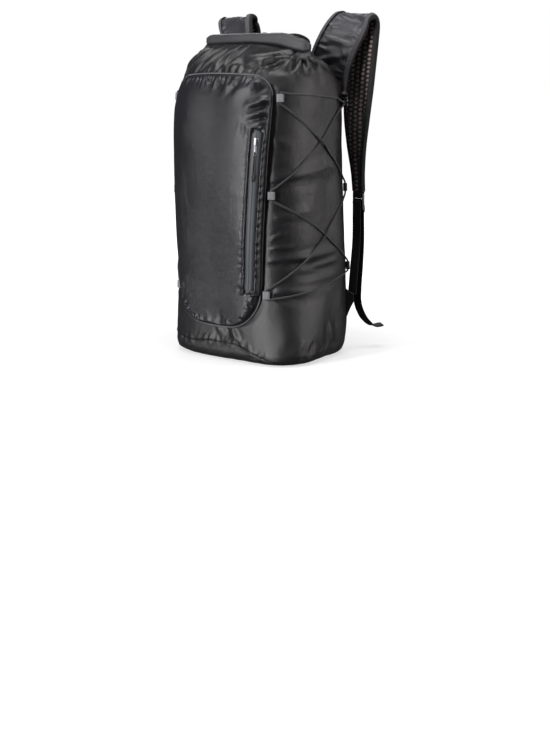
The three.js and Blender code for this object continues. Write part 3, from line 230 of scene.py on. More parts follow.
# Creases of the pocket: sideways place and height on the front, in millimetres
# Columns: x, z, to x, to z, width, depth, fade
POCKET_CREASES = [
    (96, 403, 58, 387, 4, 3.6, 0.6),
    (96, 396, 62, 382, 4, -4, 0.5),
    (84, 428, 36, 406, 7, 2.4, 0.4),
    (86, 419, 66, 394, 7, -2.6, 0.3),
    (93, 384, 58, 373, 4, 2, 0.5),
    (94, 375, 60, 366, 4.5, -3.2, 0.5),
    (90, 368, 70, 366, 3, 1.6, 0.3),
    (60, 366, 58, 342, 4, -1.6, 0.6),
    (84, 361, 79, 349, 2.6, 1.8, 0.3),
    (90, 356, 80, 341, 3, -2.2, 0.3),
    (30, 430, 22, 405, 7, 1.6, 0.6),
    (8, 432, 14, 404, 7, -1.6, 0.6),
    (-18, 432, -26, 412, 6, 1.5, 0.7),
    (-36, 432, -30, 414, 5, -1.5, 0.7),
    (50, 428, 20, 398, 5, -1.6, 0.5),
    (77, 306, 91, 288, 2.6, 1.7, 0.4),
    (60, 119, 47, 123, 2.6, 1.4, 0.8),
    (61, 113, 52, 105, 2.6, 1.3, 0.8),
    (70, 110, 78, 98, 2.6, 1.6, 0.6),
    (70, 118, 82, 104, 2.4, -1.6, 0.4),
    (66, 104, 64, 92, 3, -1.2, 0.8),
    (10, 56, 14, 80, 6, -1.6, 0.8),
    (-12, 56, -16, 78, 6, 1.2, 0.8),
    (-60, 340, -40, 180, 26, -1.6, 0),
    (20, 370, 10, 200, 24, 1.4, 0),
]


def smooth(low, high, value):
    """0 below low, 1 above high and an even rise between them."""
    share = np.clip((value - low) / (high - low), 0, 1)
    return share * share * (3 - 2 * share)


def bell(away, spread):
    """1 in the middle and an even fall to both sides."""
    return np.exp(-((away / spread) ** 2))


def columns(*parts):
    """Rows of values taken from columns."""
    return np.stack(parts, axis=1)


def through(x, xs, ys):
    """A smooth curve through the points (xs, ys), read at x."""
    xs = np.asarray(xs, float)
    ys = np.asarray(ys, float)
    slope = np.gradient(ys, xs)
    x = np.clip(x, xs[0], xs[-1])
    row = np.clip(np.searchsorted(xs, x) - 1, 0, len(xs) - 2)
    step = xs[row + 1] - xs[row]
    t = (x - xs[row]) / step
    return (
        (2 * t**3 - 3 * t**2 + 1) * ys[row]
        + (t**3 - 2 * t**2 + t) * step * slope[row]
        + (3 * t**2 - 2 * t**3) * ys[row + 1]
        + (t**3 - t**2) * step * slope[row + 1]
    )


def fineness(count):
    return count


def unit(vectors):
    """Each row of vectors at length one."""
    return vectors / np.maximum(np.linalg.norm(vectors, axis=-1, keepdims=True), 1e-9)


def speckle(points, size, seed):
    """Smooth noise from -1 to 1 with lumps of that size, in millimetres."""
    shift = np.array([seed * 17.3, seed * 5.1, seed * 9.7])
    return np.array([noise.noise(Vector(p)) for p in np.asarray(points) / size + shift])


def section_at(share):
    """The body's section at shares of its height."""
    size = {
        name: through(share, SECTIONS[:, 0], SECTIONS[:, i])
        for i, name in enumerate(SECTION_COLUMNS)
    }
    size["width"] = size["width"] * BODY_WIDTH / 2
    size["front"] = size["front"] * BODY_FRONT
    size["back"] = size["back"] * BODY_BACK
    size["aside"] = size["aside"] * BODY_WIDTH
    size["ahead"] = size["ahead"] * BODY_FRONT
    return size


def mouth_rise(x):
    """How much the mouth rises in the middle and to the left, where the roll is thinner."""
    return MOUTH_RISE * (1 - smooth(0.1, 0.6, x / (ROLL_LENGTH / 2)))


def body_point(turn, share):
    """Points of the body's plain form at turns in degrees and shares of its height."""
    turn, share = np.broadcast_arrays(np.asarray(turn, float), np.asarray(share, float))
    size = section_at(share)
    across = np.cos(np.radians(turn))
    along = np.sin(np.radians(turn))
    power = np.where(along > 0, size["aft"], size["fore"])
    reach = np.where(along > 0, size["back"], size["front"])
    stretch = (np.abs(across) ** power + np.abs(along) ** power) ** (-1 / power)
    depth = np.zeros(turn.shape)
    for middle, low, high, spread, deep, lean in FOLDS:
        run = np.clip((share - low) / (high - low), 0, 1)
        away = (turn - middle - lean * (0.5 - run) + 180) % 360 - 180
        depth += deep * BODY_WIDTH * np.sin(np.pi * run) * bell(away, spread)
    x = size["width"] * across * stretch + depth * across + size["aside"]
    y = reach * along * stretch + depth * along - size["ahead"]
    z = share * BODY_HEIGHT + mouth_rise(x) * smooth(0.93, 1, share)
    return np.stack([x, y, z], axis=-1)


def body_normal(turn, share):
    """Directions out of the body's plain form."""
    up = body_point(turn, np.minimum(share + 0.003, 1)) - body_point(turn, np.maximum(share - 0.003, 0))
    around = body_point(turn + 1.2, share) - body_point(turn - 1.2, share)
    return unit(np.cross(around, up))


def front_turn(x, z):
    """The turn at which the front of the body has a sideways place and a height."""
    size = section_at(np.asarray(z) / BODY_HEIGHT)
    across = np.clip((x - size["aside"]) / size["width"], -1, 1)
    along = -((1 - np.abs(across) ** size["fore"]) ** (1 / size["fore"]))
    return np.degrees(np.arctan2(along, across))


def crease_depth(points, path, width, depth, fade):
    """How far a crease along a path moves each point out of the cloth."""
    reach = 3.2 * width
    near = ((points > path.min(0) - reach) & (points < path.max(0) + reach)).all(1)
    near = np.flatnonzero(near)
    moved = np.zeros(len(points))
    if not near.size:
        return moved
    spots = points[near]
    best = np.full(len(spots), 1e9)
    place = np.zeros(len(spots))
    for step in range(len(path) - 1):
        run = path[step + 1] - path[step]
        t = np.clip((spots - path[step]) @ run / (run @ run), 0, 1)
        away = np.linalg.norm(spots - path[step] - t[:, None] * run, axis=1)
        closer = away < best
        best = np.where(closer, away, best)
        place = np.where(closer, (step + t) / (len(path) - 1), place)
    rise = np.sin(np.pi * place ** (1 - 0.62 * fade)) ** 0.8
    wide = width * (0.75 + 0.6 * place)
    crest = np.exp(-((best / wide) ** 1.6))
    foot = bell(best - 2 * wide, wide)
    moved[near] = depth * rise * (crest - 0.28 * foot)
    return moved


def body_crease_paths():
    """Every crease of the body as a path on it, with its width, depth and fade."""
    paths = []
    rows = list(CREASES)
    rows += [
        (180 - turn, height, 180 - to_turn, to_height, width, depth * 0.9, fade)
        for turn, height, to_turn, to_height, width, depth, fade in CREASES[MIRRORED_FROM:]
    ]
    rows += base_puckers() + top_seam_puckers() + back_creases()
    for turn, height, to_turn, to_height, width, depth, fade in rows:
        run = np.linspace(0, 1, 7)
        turns = turn + (to_turn - turn) * run
        shares = (height + (to_height - height) * run) / BODY_HEIGHT
        paths.append((body_point(turns, shares), width, depth, fade))
    return paths


def base_puckers():
    """Short creases that cross the seam of the base."""
    rows = []
    dice = np.random.default_rng(4)
    turns = np.arange(-174, 180, 4.2)
    for turn in turns:
        seam = seam_height(turn)
        if seam < 8:
            continue
        lean = dice.uniform(-2.5, 3.5)
        above = seam + dice.uniform(6, 17)
        below = max(seam - dice.uniform(5, 9), 3)
        depth = dice.choice([-1, 1]) * dice.uniform(0.9, 1.9)
        rows.append((turn + lean, above, turn - lean, below, 2.4, depth, 0))
    return rows


def top_seam_puckers():
    """Short creases above the pocket's top seam."""
    rows = []
    dice = np.random.default_rng(9)
    for turn in np.arange(-118, -50, 3.1):
        lean = dice.uniform(-3, 1)
        depth = dice.choice([-1, 1]) * dice.uniform(1, 2)
        rows.append((turn, 437, turn + lean, 437 + dice.uniform(8, 20), 2.4, depth, 0.7))
    return rows


def back_creases():
    """Soft creases of the back and the left side, which hangs as the right side does."""
    dice = np.random.default_rng(21)
    rows = []
    for height in (60, 105, 150, 190, 235, 290, 340, 385):
        for start in (58, 84, 112):
            turn = start + dice.uniform(-8, 8)
            length = dice.uniform(14, 30)
            rise = dice.uniform(-14, 14)
            depth = dice.choice([-1, 1]) * dice.uniform(0.8, 1.8)
            rows.append((turn, height, turn + length, height + rise, dice.uniform(4, 8), depth, 0))
    return rows


def seam_height(turn):
    """Height of the base's seam at turns round the body."""
    turn = (np.asarray(turn, float) + 180) % 360 - 180
    return through(turn, [row[0] for row in BASE_SEAM], [row[1] for row in BASE_SEAM])


def pocket_half_width(z):
    """Half the pocket's width at heights, corners included."""
    share = (z - POCKET_BOTTOM) / (POCKET_TOP - POCKET_BOTTOM)
    half = (POCKET_BOTTOM_WIDTH + (POCKET_TOP_WIDTH - POCKET_BOTTOM_WIDTH) * share) / 2
    top = np.clip((z - POCKET_TOP + POCKET_TOP_CORNER) / POCKET_TOP_CORNER, 0, 1)
    low = np.clip((POCKET_BOTTOM + POCKET_BOTTOM_CORNER - z) / POCKET_BOTTOM_CORNER, 0, 1)
    half = half - POCKET_TOP_CORNER * (1 - np.sqrt(1 - top**2))
    return half - POCKET_BOTTOM_CORNER * (1 - np.sqrt(1 - low**2))


def in_pocket(points, grow):
    """1 for points under the pocket, 0 for points well outside it."""
    z = np.clip(points[:, 2], POCKET_BOTTOM, POCKET_TOP)
    inside = pocket_half_width(z) + grow - np.abs(points[:, 0])
    inside = np.minimum(inside, POCKET_TOP + grow - points[:, 2])
    inside = np.minimum(inside, points[:, 2] - POCKET_BOTTOM + grow)
    return np.where(points[:, 1] < 0, smooth(-2, 2, inside), 0)


def pocket_edge_distance(points):
    """Distance outside the pocket's edge, in millimetres."""
    z = np.clip(points[:, 2], POCKET_BOTTOM, POCKET_TOP)
    away = np.abs(points[:, 0]) - pocket_half_width(z)
    return np.where((points[:, 2] > POCKET_TOP - 12) | (points[:, 2] < POCKET_BOTTOM), 99, away)


def end_dip(x):
    """How far the mouth and its roll dip towards the right end."""
    return 7 * smooth(0.5, 1, x / (ROLL_LENGTH / 2))


BODY_PATHS = body_crease_paths()


def body_cloth(turn, share):
    """Points of the body's cloth with all its creases, and the directions out of it."""
    turn = np.atleast_1d(np.asarray(turn, float))
    share = np.atleast_1d(np.asarray(share, float))
    points = body_point(turn, share)
    facing = body_normal(turn, share)
    strength = bpy.context.scene.pack_sizes.crease
    relief = np.zeros(len(points))
    for path, width, depth, fade in BODY_PATHS:
        relief += crease_depth(points, path, width, depth, fade)
    height = points[:, 2]
    loose = 0.4 + smooth(380, 450, height) + smooth(60, 20, height)
    relief += 0.9 * speckle(points, 38, 1) + 0.45 * loose * speckle(points, 15, 2)
    relief -= 0.5 * bell(height - seam_height(turn), 1.5)
    relief *= strength
    covered = in_pocket(points, 5)
    relief = relief * (1 - covered) + np.minimum(relief, 0.2) * covered
    relief = np.where(share > 0.97, np.minimum(relief, 2.5 - 2 * smooth(0.97, 1, share)), relief)
    groove = pocket_edge_distance(points)
    relief -= GROOVE_DEPTH * bell(np.maximum(groove, 0), GROOVE_REACH) * (points[:, 1] < 0)
    relief = np.clip(relief, -11, 6.5)
    points = points + facing * relief[:, None]
    points[:, 2] -= end_dip(points[:, 0]) * smooth(0.86, 1, share)
    closing = smooth(0.986, 1, share)
    points[:, 2] += 6 * closing
    middle = roll_line(points[:, 0] / (ROLL_LENGTH / 2))
    points[:, 1] += (middle - points[:, 1]) * 0.85 * closing
    corner = CORNER_FULL * bell(turn - CORNER_TURN, CORNER_SPREAD)
    corner = corner * smooth(130, 12, height)
    points[:, 0] += corner
    points[:, 1] -= 0.45 * corner
    return points, facing, relief


def pocket_trace(x, z, lift):
    """Points over the pocket's place on the front, a lift out from the body's plain form."""
    turn = front_turn(x, z)
    share = np.asarray(z) / BODY_HEIGHT
    facing = body_normal(turn, share)
    return body_point(turn, share) + facing * np.asarray(lift)[..., None], facing


def zip_place(z):
    """Sideways place of the zip's middle at heights."""
    return ZIP_OFFSET + (z - (ZIP_TOP + ZIP_BOTTOM) / 2) * ZIP_SLANT


def pocket_edge_puckers():
    """Short creases beside the zip and along the pocket's sewn edges."""
    rows = []
    dice = np.random.default_rng(14)
    for z in np.arange(334, 128, -12.5):
        z = z + dice.uniform(-3, 3)
        start = zip_place(z) + ZIP_WIDTH / 2 + 2
        edge = pocket_half_width(z) - 2
        rise = dice.uniform(6, 13)
        depth = dice.uniform(2, 3.2)
        rows.append((edge, z + rise, start, z, 2.8, depth, 0.3))
        rows.append((edge, z + rise - 5.5, start, z - 5.5, 2.6, -depth, 0.3))
    for z in np.arange(345, 120, -9):
        z = z + dice.uniform(-3, 3)
        start = zip_place(z) - ZIP_WIDTH / 2 - 2
        rows.append((start, z, start - dice.uniform(6, 12), z - dice.uniform(-3, 6), 2.6,
                     dice.choice([-1, 1]) * dice.uniform(0.4, 0.9), 0.8))
    for x in np.arange(-78, 82, 5.6):
        x = x + dice.uniform(-1.5, 1.5)
        rows.append((x, POCKET_TOP - 1, x + dice.uniform(-5, 2), POCKET_TOP - dice.uniform(9, 22), 2.4,
                     dice.choice([-1, 1]) * dice.uniform(1, 2.2), 0.7))
    for turn in np.arange(-88, 89, 6.5):
        reach = math.radians(turn - 90)
        corner = math.copysign(POCKET_BOTTOM_WIDTH / 2 - POCKET_BOTTOM_CORNER, turn)
        x = corner + POCKET_BOTTOM_CORNER * math.cos(reach) * 0.97
        z = POCKET_BOTTOM + POCKET_BOTTOM_CORNER * (1 + math.sin(reach) * 0.97)
        length = dice.uniform(8, 15)
        rows.append((x, z, x - length * math.cos(reach) * 0.8, z + length * 0.75, 2.4,
                     dice.choice([-1, 1]) * dice.uniform(1, 2), 0.7))
    return rows


def pocket_crease_paths():
    """Every crease of the pocket as a path on it, with its width, depth and fade."""
    paths = []
    for x, z, to_x, to_z, width, depth, fade in POCKET_CREASES + pocket_edge_puckers():
        run = np.linspace(0, 1, 5)
        xs = x + (to_x - x) * run
        zs = z + (to_z - z) * run
        points, _ = pocket_trace(xs, zs, np.full(5, POCKET_DEPTH + CLOTH))
        paths.append((points, width, depth, fade))
    return paths


def pocket_cloth(x, z, inward):
    """Points of the pocket's cloth at places on the front, inward of its rim."""
    proud = POCKET_DEPTH - 5.5 * smooth(POCKET_TOP - 60, POCKET_TOP, z)
    proud = proud - 2 * smooth(POCKET_BOTTOM + 50, POCKET_BOTTOM, z)
    edge = 6 + 20 * smooth(POCKET_TOP - 60, POCKET_TOP, z)
    rise = np.sqrt(1 - (1 - np.clip(inward / edge, 0, 1)) ** 2.4)
    points, facing = pocket_trace(x, z, POCKET_DEPTH + CLOTH + 0 * x)
    strength = bpy.context.scene.pack_sizes.crease
    relief = np.zeros(len(points))
    for path, width, depth, fade in pocket_crease_paths():
        relief += crease_depth(points, path, width, depth, fade)
    relief += 0.8 * speckle(points, 46, 5)
    full = 3 * bell(x - 78, 50) - 2.2 * bell(x - 8, 36)
    relief += full * np.clip(inward / 12, 0, 1)
    near_zip = np.abs(x - zip_place(z)) - ZIP_WIDTH / 2
    along_zip = smooth(ZIP_BOTTOM - 6, ZIP_BOTTOM, z) * smooth(ZIP_TOP + 6, ZIP_TOP, z)
    beside = bell(near_zip - 2.6, 1.9)
    crinkle = smooth(30, 6, inward) + bell(near_zip, 14) * along_zip
    relief += 0.4 * np.clip(0.25 + crinkle, 0, 1) * speckle(points, 12, 6)
    relief = relief * np.clip(inward / 7, 0, 1) + 1.5 * beside * along_zip
    under = smooth(1.2, -1.2, near_zip) * along_zip
    relief = relief * (1 - under) - 0.4 * under
    lift = 0.7 + CLOTH + (proud - 0.7) * rise + relief * strength
    base = points - facing * (POCKET_DEPTH + CLOTH)
    return base + facing * np.maximum(lift, 1.2)[:, None], relief


def make_sheet(name, across, along, place, closed=False, capped=False):
    """A sheet of across by along faces that place(u, v) lays out, with points and weave places in
    millimetres; closed joins its edges where they meet, and capped shuts its two ends."""
    shape = bmesh.new()
    bmesh.ops.create_grid(shape, x_segments=across, y_segments=along, size=0.5)
    mesh = bpy.data.meshes.new(name)
    shape.to_mesh(mesh)
    shape.free()
    flat = np.empty(len(mesh.vertices) * 3, np.float32)
    mesh.vertices.foreach_get("co", flat)
    flat = flat.reshape(-1, 3).astype(float)
    u = np.round((flat[:, 0] + 0.5) * across) / across
    v = np.round((flat[:, 1] + 0.5) * along) / along
    points, weave, *relief = place(u, v)
    for height in relief:
        layer = mesh.attributes.new("Relief", "FLOAT", "POINT")
        layer.data.foreach_set("value", np.asarray(height, np.float32))
    mesh.vertices.foreach_set("co", (points * MM).astype(np.float32).ravel())
    corner = np.empty(len(mesh.loops), np.int32)
    mesh.loops.foreach_get("vertex_index", corner)
    layer = mesh.uv_layers.new(name="Weave")
    layer.data.foreach_set("uv", (weave[corner] * MM).astype(np.float32).ravel())
    shape = bmesh.new()
    shape.from_mesh(mesh)
    if closed:
        bmesh.ops.remove_doubles(shape, verts=shape.verts, dist=2e-6)
    if capped:
        rims = [edge for edge in shape.edges if edge.is_boundary]
        bmesh.ops.holes_fill(shape, edges=rims, sides=0)
    bmesh.ops.recalc_face_normals(shape, faces=shape.faces)
    shape.to_mesh(mesh)
    shape.free()
    mesh.shade_smooth()
    return mesh


def shape_mesh(name, shape):
    """A mesh of what was modelled in a bmesh in millimetres."""
    bmesh.ops.scale(shape, vec=(MM, MM, MM), verts=shape.verts)
    bmesh.ops.recalc_face_normals(shape, faces=shape.faces)
    mesh = bpy.data.meshes.new(name)
    shape.to_mesh(mesh)
    shape.free()
    mesh.shade_smooth()
    return mesh


def piece(name, mesh, slot, kind, *nodes, body=BODY):
    """A piece of a kind of surface that rides on its body and stands for its nodes."""
    thing = bpy.data.objects.new(name, mesh)
    bpy.context.scene.collection.objects.link(thing)
    mesh.materials.append(finish_of(kind))
    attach(thing, body)
    if nodes:
        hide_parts(*nodes)
    return thing


def reach_along(line, least=0):
    """How far along a line of points each of them lies."""
    gaps = np.linalg.norm(np.diff(line, axis=0), axis=1)
    return np.concatenate([[0], np.cumsum(np.maximum(gaps, least))])


def along_path(points, count, closed=False):
    """The places and directions of evenly spaced stations on a smooth line through points."""
    points = np.asarray(points, float)
    if closed:
        points = np.vstack([points[-3:], points, points[:3]])
    reach = reach_along(points, 1e-3)
    first, last = (reach[3], reach[-3]) if closed else (0, reach[-1])
    spots = np.linspace(first, last, count + 1)
    line = np.stack([through(spots, reach, points[:, k]) for k in range(3)], axis=1)
    ahead = np.stack([through(spots + 0.4, reach, points[:, k]) for k in range(3)], axis=1)
    behind = np.stack([through(spots - 0.4, reach, points[:, k]) for k in range(3)], axis=1)
    return line, unit(ahead - behind)


BAND_TURNS = np.array([0, 0.46, 0.48, 0.5, 0.96, 0.98, 1])


def band_ring(u, width, thick):
    """Places round the section of a flat band: across it, and out of it."""
    flat = (width - thick) / 2
    side = np.interp(u, BAND_TURNS, [-1, 1, 1, 1, -1, -1, -1])
    bulge = np.interp(u, BAND_TURNS, [0, 0, 1, 0, 0, -1, 0])
    out = np.interp(u, BAND_TURNS, [1, 1, 0, -1, -1, 0, 1])
    return side * flat + bulge * thick / 2, out * thick / 2


def make_band(name, line, widths, faces, width, thick, ribs=0.0, closed=False):
    """A flat woven band along a line of stations; widths and faces are its directions."""
    steps = len(line) - 1
    reach = reach_along(line)
    width = np.broadcast_to(np.asarray(width, float), (steps + 1,))
    thick = np.broadcast_to(np.asarray(thick, float), (steps + 1,))

    def place(u, v):
        row = np.round(v * steps).astype(int)
        across, out = band_ring(u, width[row], thick[row])
        ripple = ribs * np.sin(reach[row] * 2 * np.pi / 3.2) * np.sign(out)
        points = line[row] + widths[row] * across[:, None] + faces[row] * (out + ripple)[:, None]
        return points, columns(across, reach[row])

    return make_sheet(name, 50, steps, place, closed=True, capped=not closed)


def make_cord(name, line, heading, facing, radius, closed=False, sides=14):
    """A round cord along a line of stations."""
    steps = len(line) - 1
    normal = unit(facing - heading * (facing * heading).sum(1, keepdims=True))
    binormal = np.cross(heading, normal)
    reach = reach_along(line)
    radius = np.broadcast_to(np.asarray(radius, float), (steps + 1,))

    def place(u, v):
        row = np.round(v * steps).astype(int)
        turn = u * 2 * np.pi
        weave = radius[row] * (1 + 0.035 * np.sin(4 * turn + reach[row] * 2.4)
                               * np.sin(4 * turn - reach[row] * 2.4))
        points = (line[row] + normal[row] * (weave * np.cos(turn))[:, None]
                  + binormal[row] * (weave * np.sin(turn))[:, None])
        return points, columns(u * 2 * np.pi * 1.5, reach[row])

    return make_sheet(name, sides, steps, place, closed=True, capped=not closed)


def shape_body():
    """The body's cloth from the base seam to the mouth, its two edges tucked in."""

    def place(u, v):
        turn = u * 360 - 180
        seam = seam_height(turn) / BODY_HEIGHT
        share = seam + (1 - seam) * v
        points, facing, relief = body_cloth(turn, share)
        points = points - facing * (0.8 * (v < 1e-6))[:, None]
        return points, columns(turn * 2.0, share * BODY_HEIGHT), relief

    return make_sheet("body_cloth", fineness(360), fineness(236), place, closed=True)


def shape_base():
    """The base's cloth: a low wall under the seam and a flat bottom."""
    wall = 0.42

    def place(u, v):
        turn = u * 360 - 180
        seam = seam_height(turn) / BODY_HEIGHT
        down = np.clip(v / wall, 0, 1)
        points, facing, relief = body_cloth(turn, seam * (1 - down))
        points = points - facing * (0.8 * (v < 1e-6))[:, None]
        inward = np.clip((v - wall) / (1 - wall), 0, 1)
        middle = np.array([SECTIONS[0, 6] * BODY_WIDTH, -SECTIONS[0, 7] * BODY_FRONT, 0])
        points = middle + (points - middle) * columns(1 - inward, 1 - inward, 1 + 0 * u)
        hollow = 1.4 * smooth(0, 0.3, inward) * (0.5 + 0.5 * speckle(points, 40, 8))
        points[:, 2] = np.where(inward > 0, hollow, np.maximum(points[:, 2], 0))
        return points, columns(points[:, 0], points[:, 1] + points[:, 2]), relief

    return make_sheet("base_cloth", fineness(300), fineness(60), place, closed=True)


# Stations along the roll: place as a share of half its length, drop, height and depth as
# shares of its own
ROLL_COLUMNS = ("place", "drop", "height", "depth")
ROLL_STATIONS = np.array([
    (-1, 0.2, 0.5, 0.5),
    (-0.93, 0.1, 0.64, 0.8),
    (-0.7, 0.03, 0.68, 0.95),
    (-0.3, 0, 0.67, 1),
    (0.1, 0, 0.68, 1),
    (0.4, 0, 0.8, 1),
    (0.65, 0.02, 0.96, 1.05),
    (0.85, 0.2, 0.86, 1),
    (0.96, 0.32, 0.72, 0.8),
    (1, 0.42, 0.5, 0.5),
])


def roll_line(place):
    """How far back the roll's middle lies along its length."""
    return ROLL_SWEEP * (place**2 - 0.4) - ROLL_AHEAD


def shape_roll():
    """The rolled mouth: a flat turn of cloth with the edge of its last turn along the front."""
    top = BODY_HEIGHT + 0.6 + ROLL_HEIGHT

    def place(u, v):
        end = np.clip(np.abs(v - 0.5) * 2, 0, 1)
        along = np.clip((v - 0.5) * 2 / 0.95, -1, 1)
        shrink = np.sqrt(np.clip(1 - ((end - 0.95) / 0.05).clip(0, 1) ** 2, 0.0, 1))
        row = {name: through(along, ROLL_STATIONS[:, 0], ROLL_STATIONS[:, i])
               for i, name in enumerate(ROLL_COLUMNS)}
        x = along * ROLL_LENGTH / 2 + np.sign(v - 0.5) * 3 * ((end - 0.95) / 0.05).clip(0, 1)
        half = row["height"] * ROLL_HEIGHT / 2
        floor = BODY_HEIGHT + mouth_rise(x) + 0.4
        z = np.maximum(top - row["drop"] * ROLL_HEIGHT - half, floor + half) - end_dip(x)
        turn = u * 2 * np.pi
        c = np.cos(turn)
        s = np.sin(turn)
        stretch = (np.abs(c) ** 3.4 + np.abs(s) ** 3.4) ** (-1 / 3.4)
        lip = np.degrees(turn)
        layer = 0.9 * smooth(200, 206, lip) - 0.9 * smooth(300, 350, lip)
        layer += 0.5 * smooth(20, 60, lip) - 0.5 * smooth(100, 106, lip)
        sweep = np.arctan(2 * ROLL_SWEEP * along / (ROLL_LENGTH / 2))
        side = columns(-np.sin(sweep), np.cos(sweep), 0 * sweep)
        depth = (row["depth"] * ROLL_DEPTH / 2 * stretch + layer) * c * (0.1 + 0.9 * shrink)
        rise = (half * stretch + layer * 0.4) * s * (0.1 + 0.9 * shrink)
        points = columns(x, roll_line(along), z) + side * depth[:, None]
        points[:, 2] += rise
        wave = 0.35 * speckle(points * np.array([0.5, 1.5, 1.5]), 11, 3)
        crush = 0.8 * speckle(points * np.array([0.6, 1, 1]), 30, 4) * smooth(0.2, 0.9, end)
        points += unit(columns(0 * x, c, s)) * (wave + crush)[:, None]
        return points, columns(x, turn * 12)

    return make_sheet("roll_cloth", 72, fineness(150), place, closed=True)


def shape_pocket():
    """The pocket's cloth, its rim turned in to the body all round."""

    def place(u, v):
        span = np.clip((v - 0.5) / 0.98, -0.5, 0.5) + 0.5
        z = POCKET_BOTTOM + (POCKET_TOP - POCKET_BOTTOM) * (0.5 - 0.5 * np.cos(span * np.pi) * 0.35
                                                             + 0.65 * (span - 0.5))
        half = pocket_half_width(z)
        side = np.clip((u - 0.5) / 0.49, -1, 1)
        x = half * side
        inward = np.minimum(half - np.abs(x), np.minimum(POCKET_TOP - z, z - POCKET_BOTTOM))
        low_corner = POCKET_BOTTOM + POCKET_BOTTOM_CORNER
        corner_x = POCKET_BOTTOM_WIDTH / 2 - POCKET_BOTTOM_CORNER
        round_low = POCKET_BOTTOM_CORNER - np.hypot(np.maximum(np.abs(x) - corner_x, 0),
                                                    np.maximum(low_corner - z, 0))
        inward = np.where(z < low_corner, np.minimum(round_low, half - np.abs(x) + 30), inward)
        inward = np.maximum(np.minimum(inward, POCKET_TOP - z), 0)
        points, relief = pocket_cloth(x, z, inward)
        rim = (np.abs(u - 0.5) > 0.4999) | (np.abs(v - 0.5) > 0.4999)
        base, _ = pocket_trace(x, z, 0 * x - 1.2)
        points = np.where(rim[:, None], base, points)
        return points, columns(x, z), relief

    return make_sheet("pocket_cloth", fineness(190), fineness(330), place)


def pocket_rim():
    """Places round the pocket's outline, up its right side and down its left."""
    top = POCKET_TOP - POCKET_TOP_CORNER
    low = POCKET_BOTTOM + POCKET_BOTTOM_CORNER
    above = np.radians(np.linspace(0, 90, 12))[1:]
    below = np.radians(np.linspace(0, 90, 14))[:0:-1]
    z = np.concatenate([low - POCKET_BOTTOM_CORNER * np.sin(below), np.linspace(low, top, 20),
                        top + POCKET_TOP_CORNER * np.sin(above)])
    right = columns(pocket_half_width(z), z)
    return np.vstack([right, right[::-1] * np.array([-1, 1])])


def shape_piping():
    """A thin corded edge round the pocket."""
    rim = pocket_rim()
    away = PIPING_RADIUS + 0.2
    middle = np.array([0, (POCKET_TOP + POCKET_BOTTOM) / 2])
    rim = rim + unit(rim - middle) * away
    points, _ = pocket_trace(rim[:, 0], rim[:, 1], np.full(len(rim), PIPING_RADIUS + 0.9))
    line, heading = along_path(points, fineness(420), closed=True)
    spots = unit(line - np.array([0, 0, 1.0]) * line[:, 2:3])
    return make_cord("piping", line, heading, spots, PIPING_RADIUS, closed=True, sides=10)


def zip_strip(name, top, bottom, width, low, thick, steps, crown):
    """A strip that follows the line of the zip on the pocket's face."""

    def place(u, v):
        z = bottom + (top - bottom) * v
        across, out = band_ring(u, width, thick)
        end = np.minimum(z - bottom, top - z)
        narrow = np.sqrt(np.clip(1 - (1 - np.clip(end / (width / 2), 0, 1)) ** 2, 0.02, 1))
        rise = np.where(out > 0, crown(across), 0)
        lift = POCKET_DEPTH + CLOTH + low + thick / 2 + out + rise
        points, _ = pocket_trace(zip_place(z) + across * narrow, z, lift)
        return points, columns(across, z)

    return make_sheet(name, 100, steps, place, closed=True, capped=True)


ZIP_LIFT = 0.8
ZIP_THICK = 1.4
SLIDER_TOP = 344
SLIDER_LENGTH = 12
PULLER_LENGTH = 15
PULL_FOOT = SLIDER_TOP - SLIDER_LENGTH - PULLER_LENGTH
PULL_CORD_RADIUS = 1


def zip_frame(z, stand):
    """A point over the zip, with its directions across, up along the zip and out."""
    spots = np.array([z - 1, z, z + 1], float)
    lift = np.full(3, POCKET_DEPTH + CLOTH + ZIP_LIFT + ZIP_THICK + stand)
    points, facing = pocket_trace(zip_place(spots), spots, lift)
    up = unit(points[2] - points[0])
    out = unit(facing[1] - up * (facing[1] @ up))
    return points[1], np.cross(up, out), up, out


def shape_zip_tape():
    """The zip's tape with its closed teeth under two soft lips."""

    def crown(across):
        lips = 0.9 * (1 - np.clip(np.abs(across) / 5.2, 0, 1) ** 3)
        return lips - 0.22 * bell(across, 0.45) - 0.5 * (np.abs(across) > 5)

    return zip_strip("zip_tape", ZIP_TOP, ZIP_BOTTOM, ZIP_WIDTH, ZIP_LIFT, ZIP_THICK,
                     fineness(300), crown)


def shape_slider():
    """The zip's metal slider: a tapered body, its side walls and the bridge of its puller."""
    shape = bmesh.new()
    add_rounded_box(shape, (0, 0, 0.9), (8, 11.6, 1.6), 0.6)
    for vert in shape.verts:
        if vert.co.y < 0:
            vert.co.x *= 1 - 0.42 * (-vert.co.y / 5.8) ** 1.5
        else:
            vert.co.x *= 1 - 0.16 * (vert.co.y / 5.8) ** 3
    add_rounded_box(shape, (0, -0.6, 3.5), (2.6, 8.4, 0.9), 0.4)
    for place in (-4, 2.8):
        add_rounded_box(shape, (0, place, 2.5), (2.4, 1.4, 1.9), 0.35, 2)
    place_shape(shape, *zip_frame(SLIDER_TOP - SLIDER_LENGTH / 2, 0))
    return shape_mesh("zip_slider_body", shape)


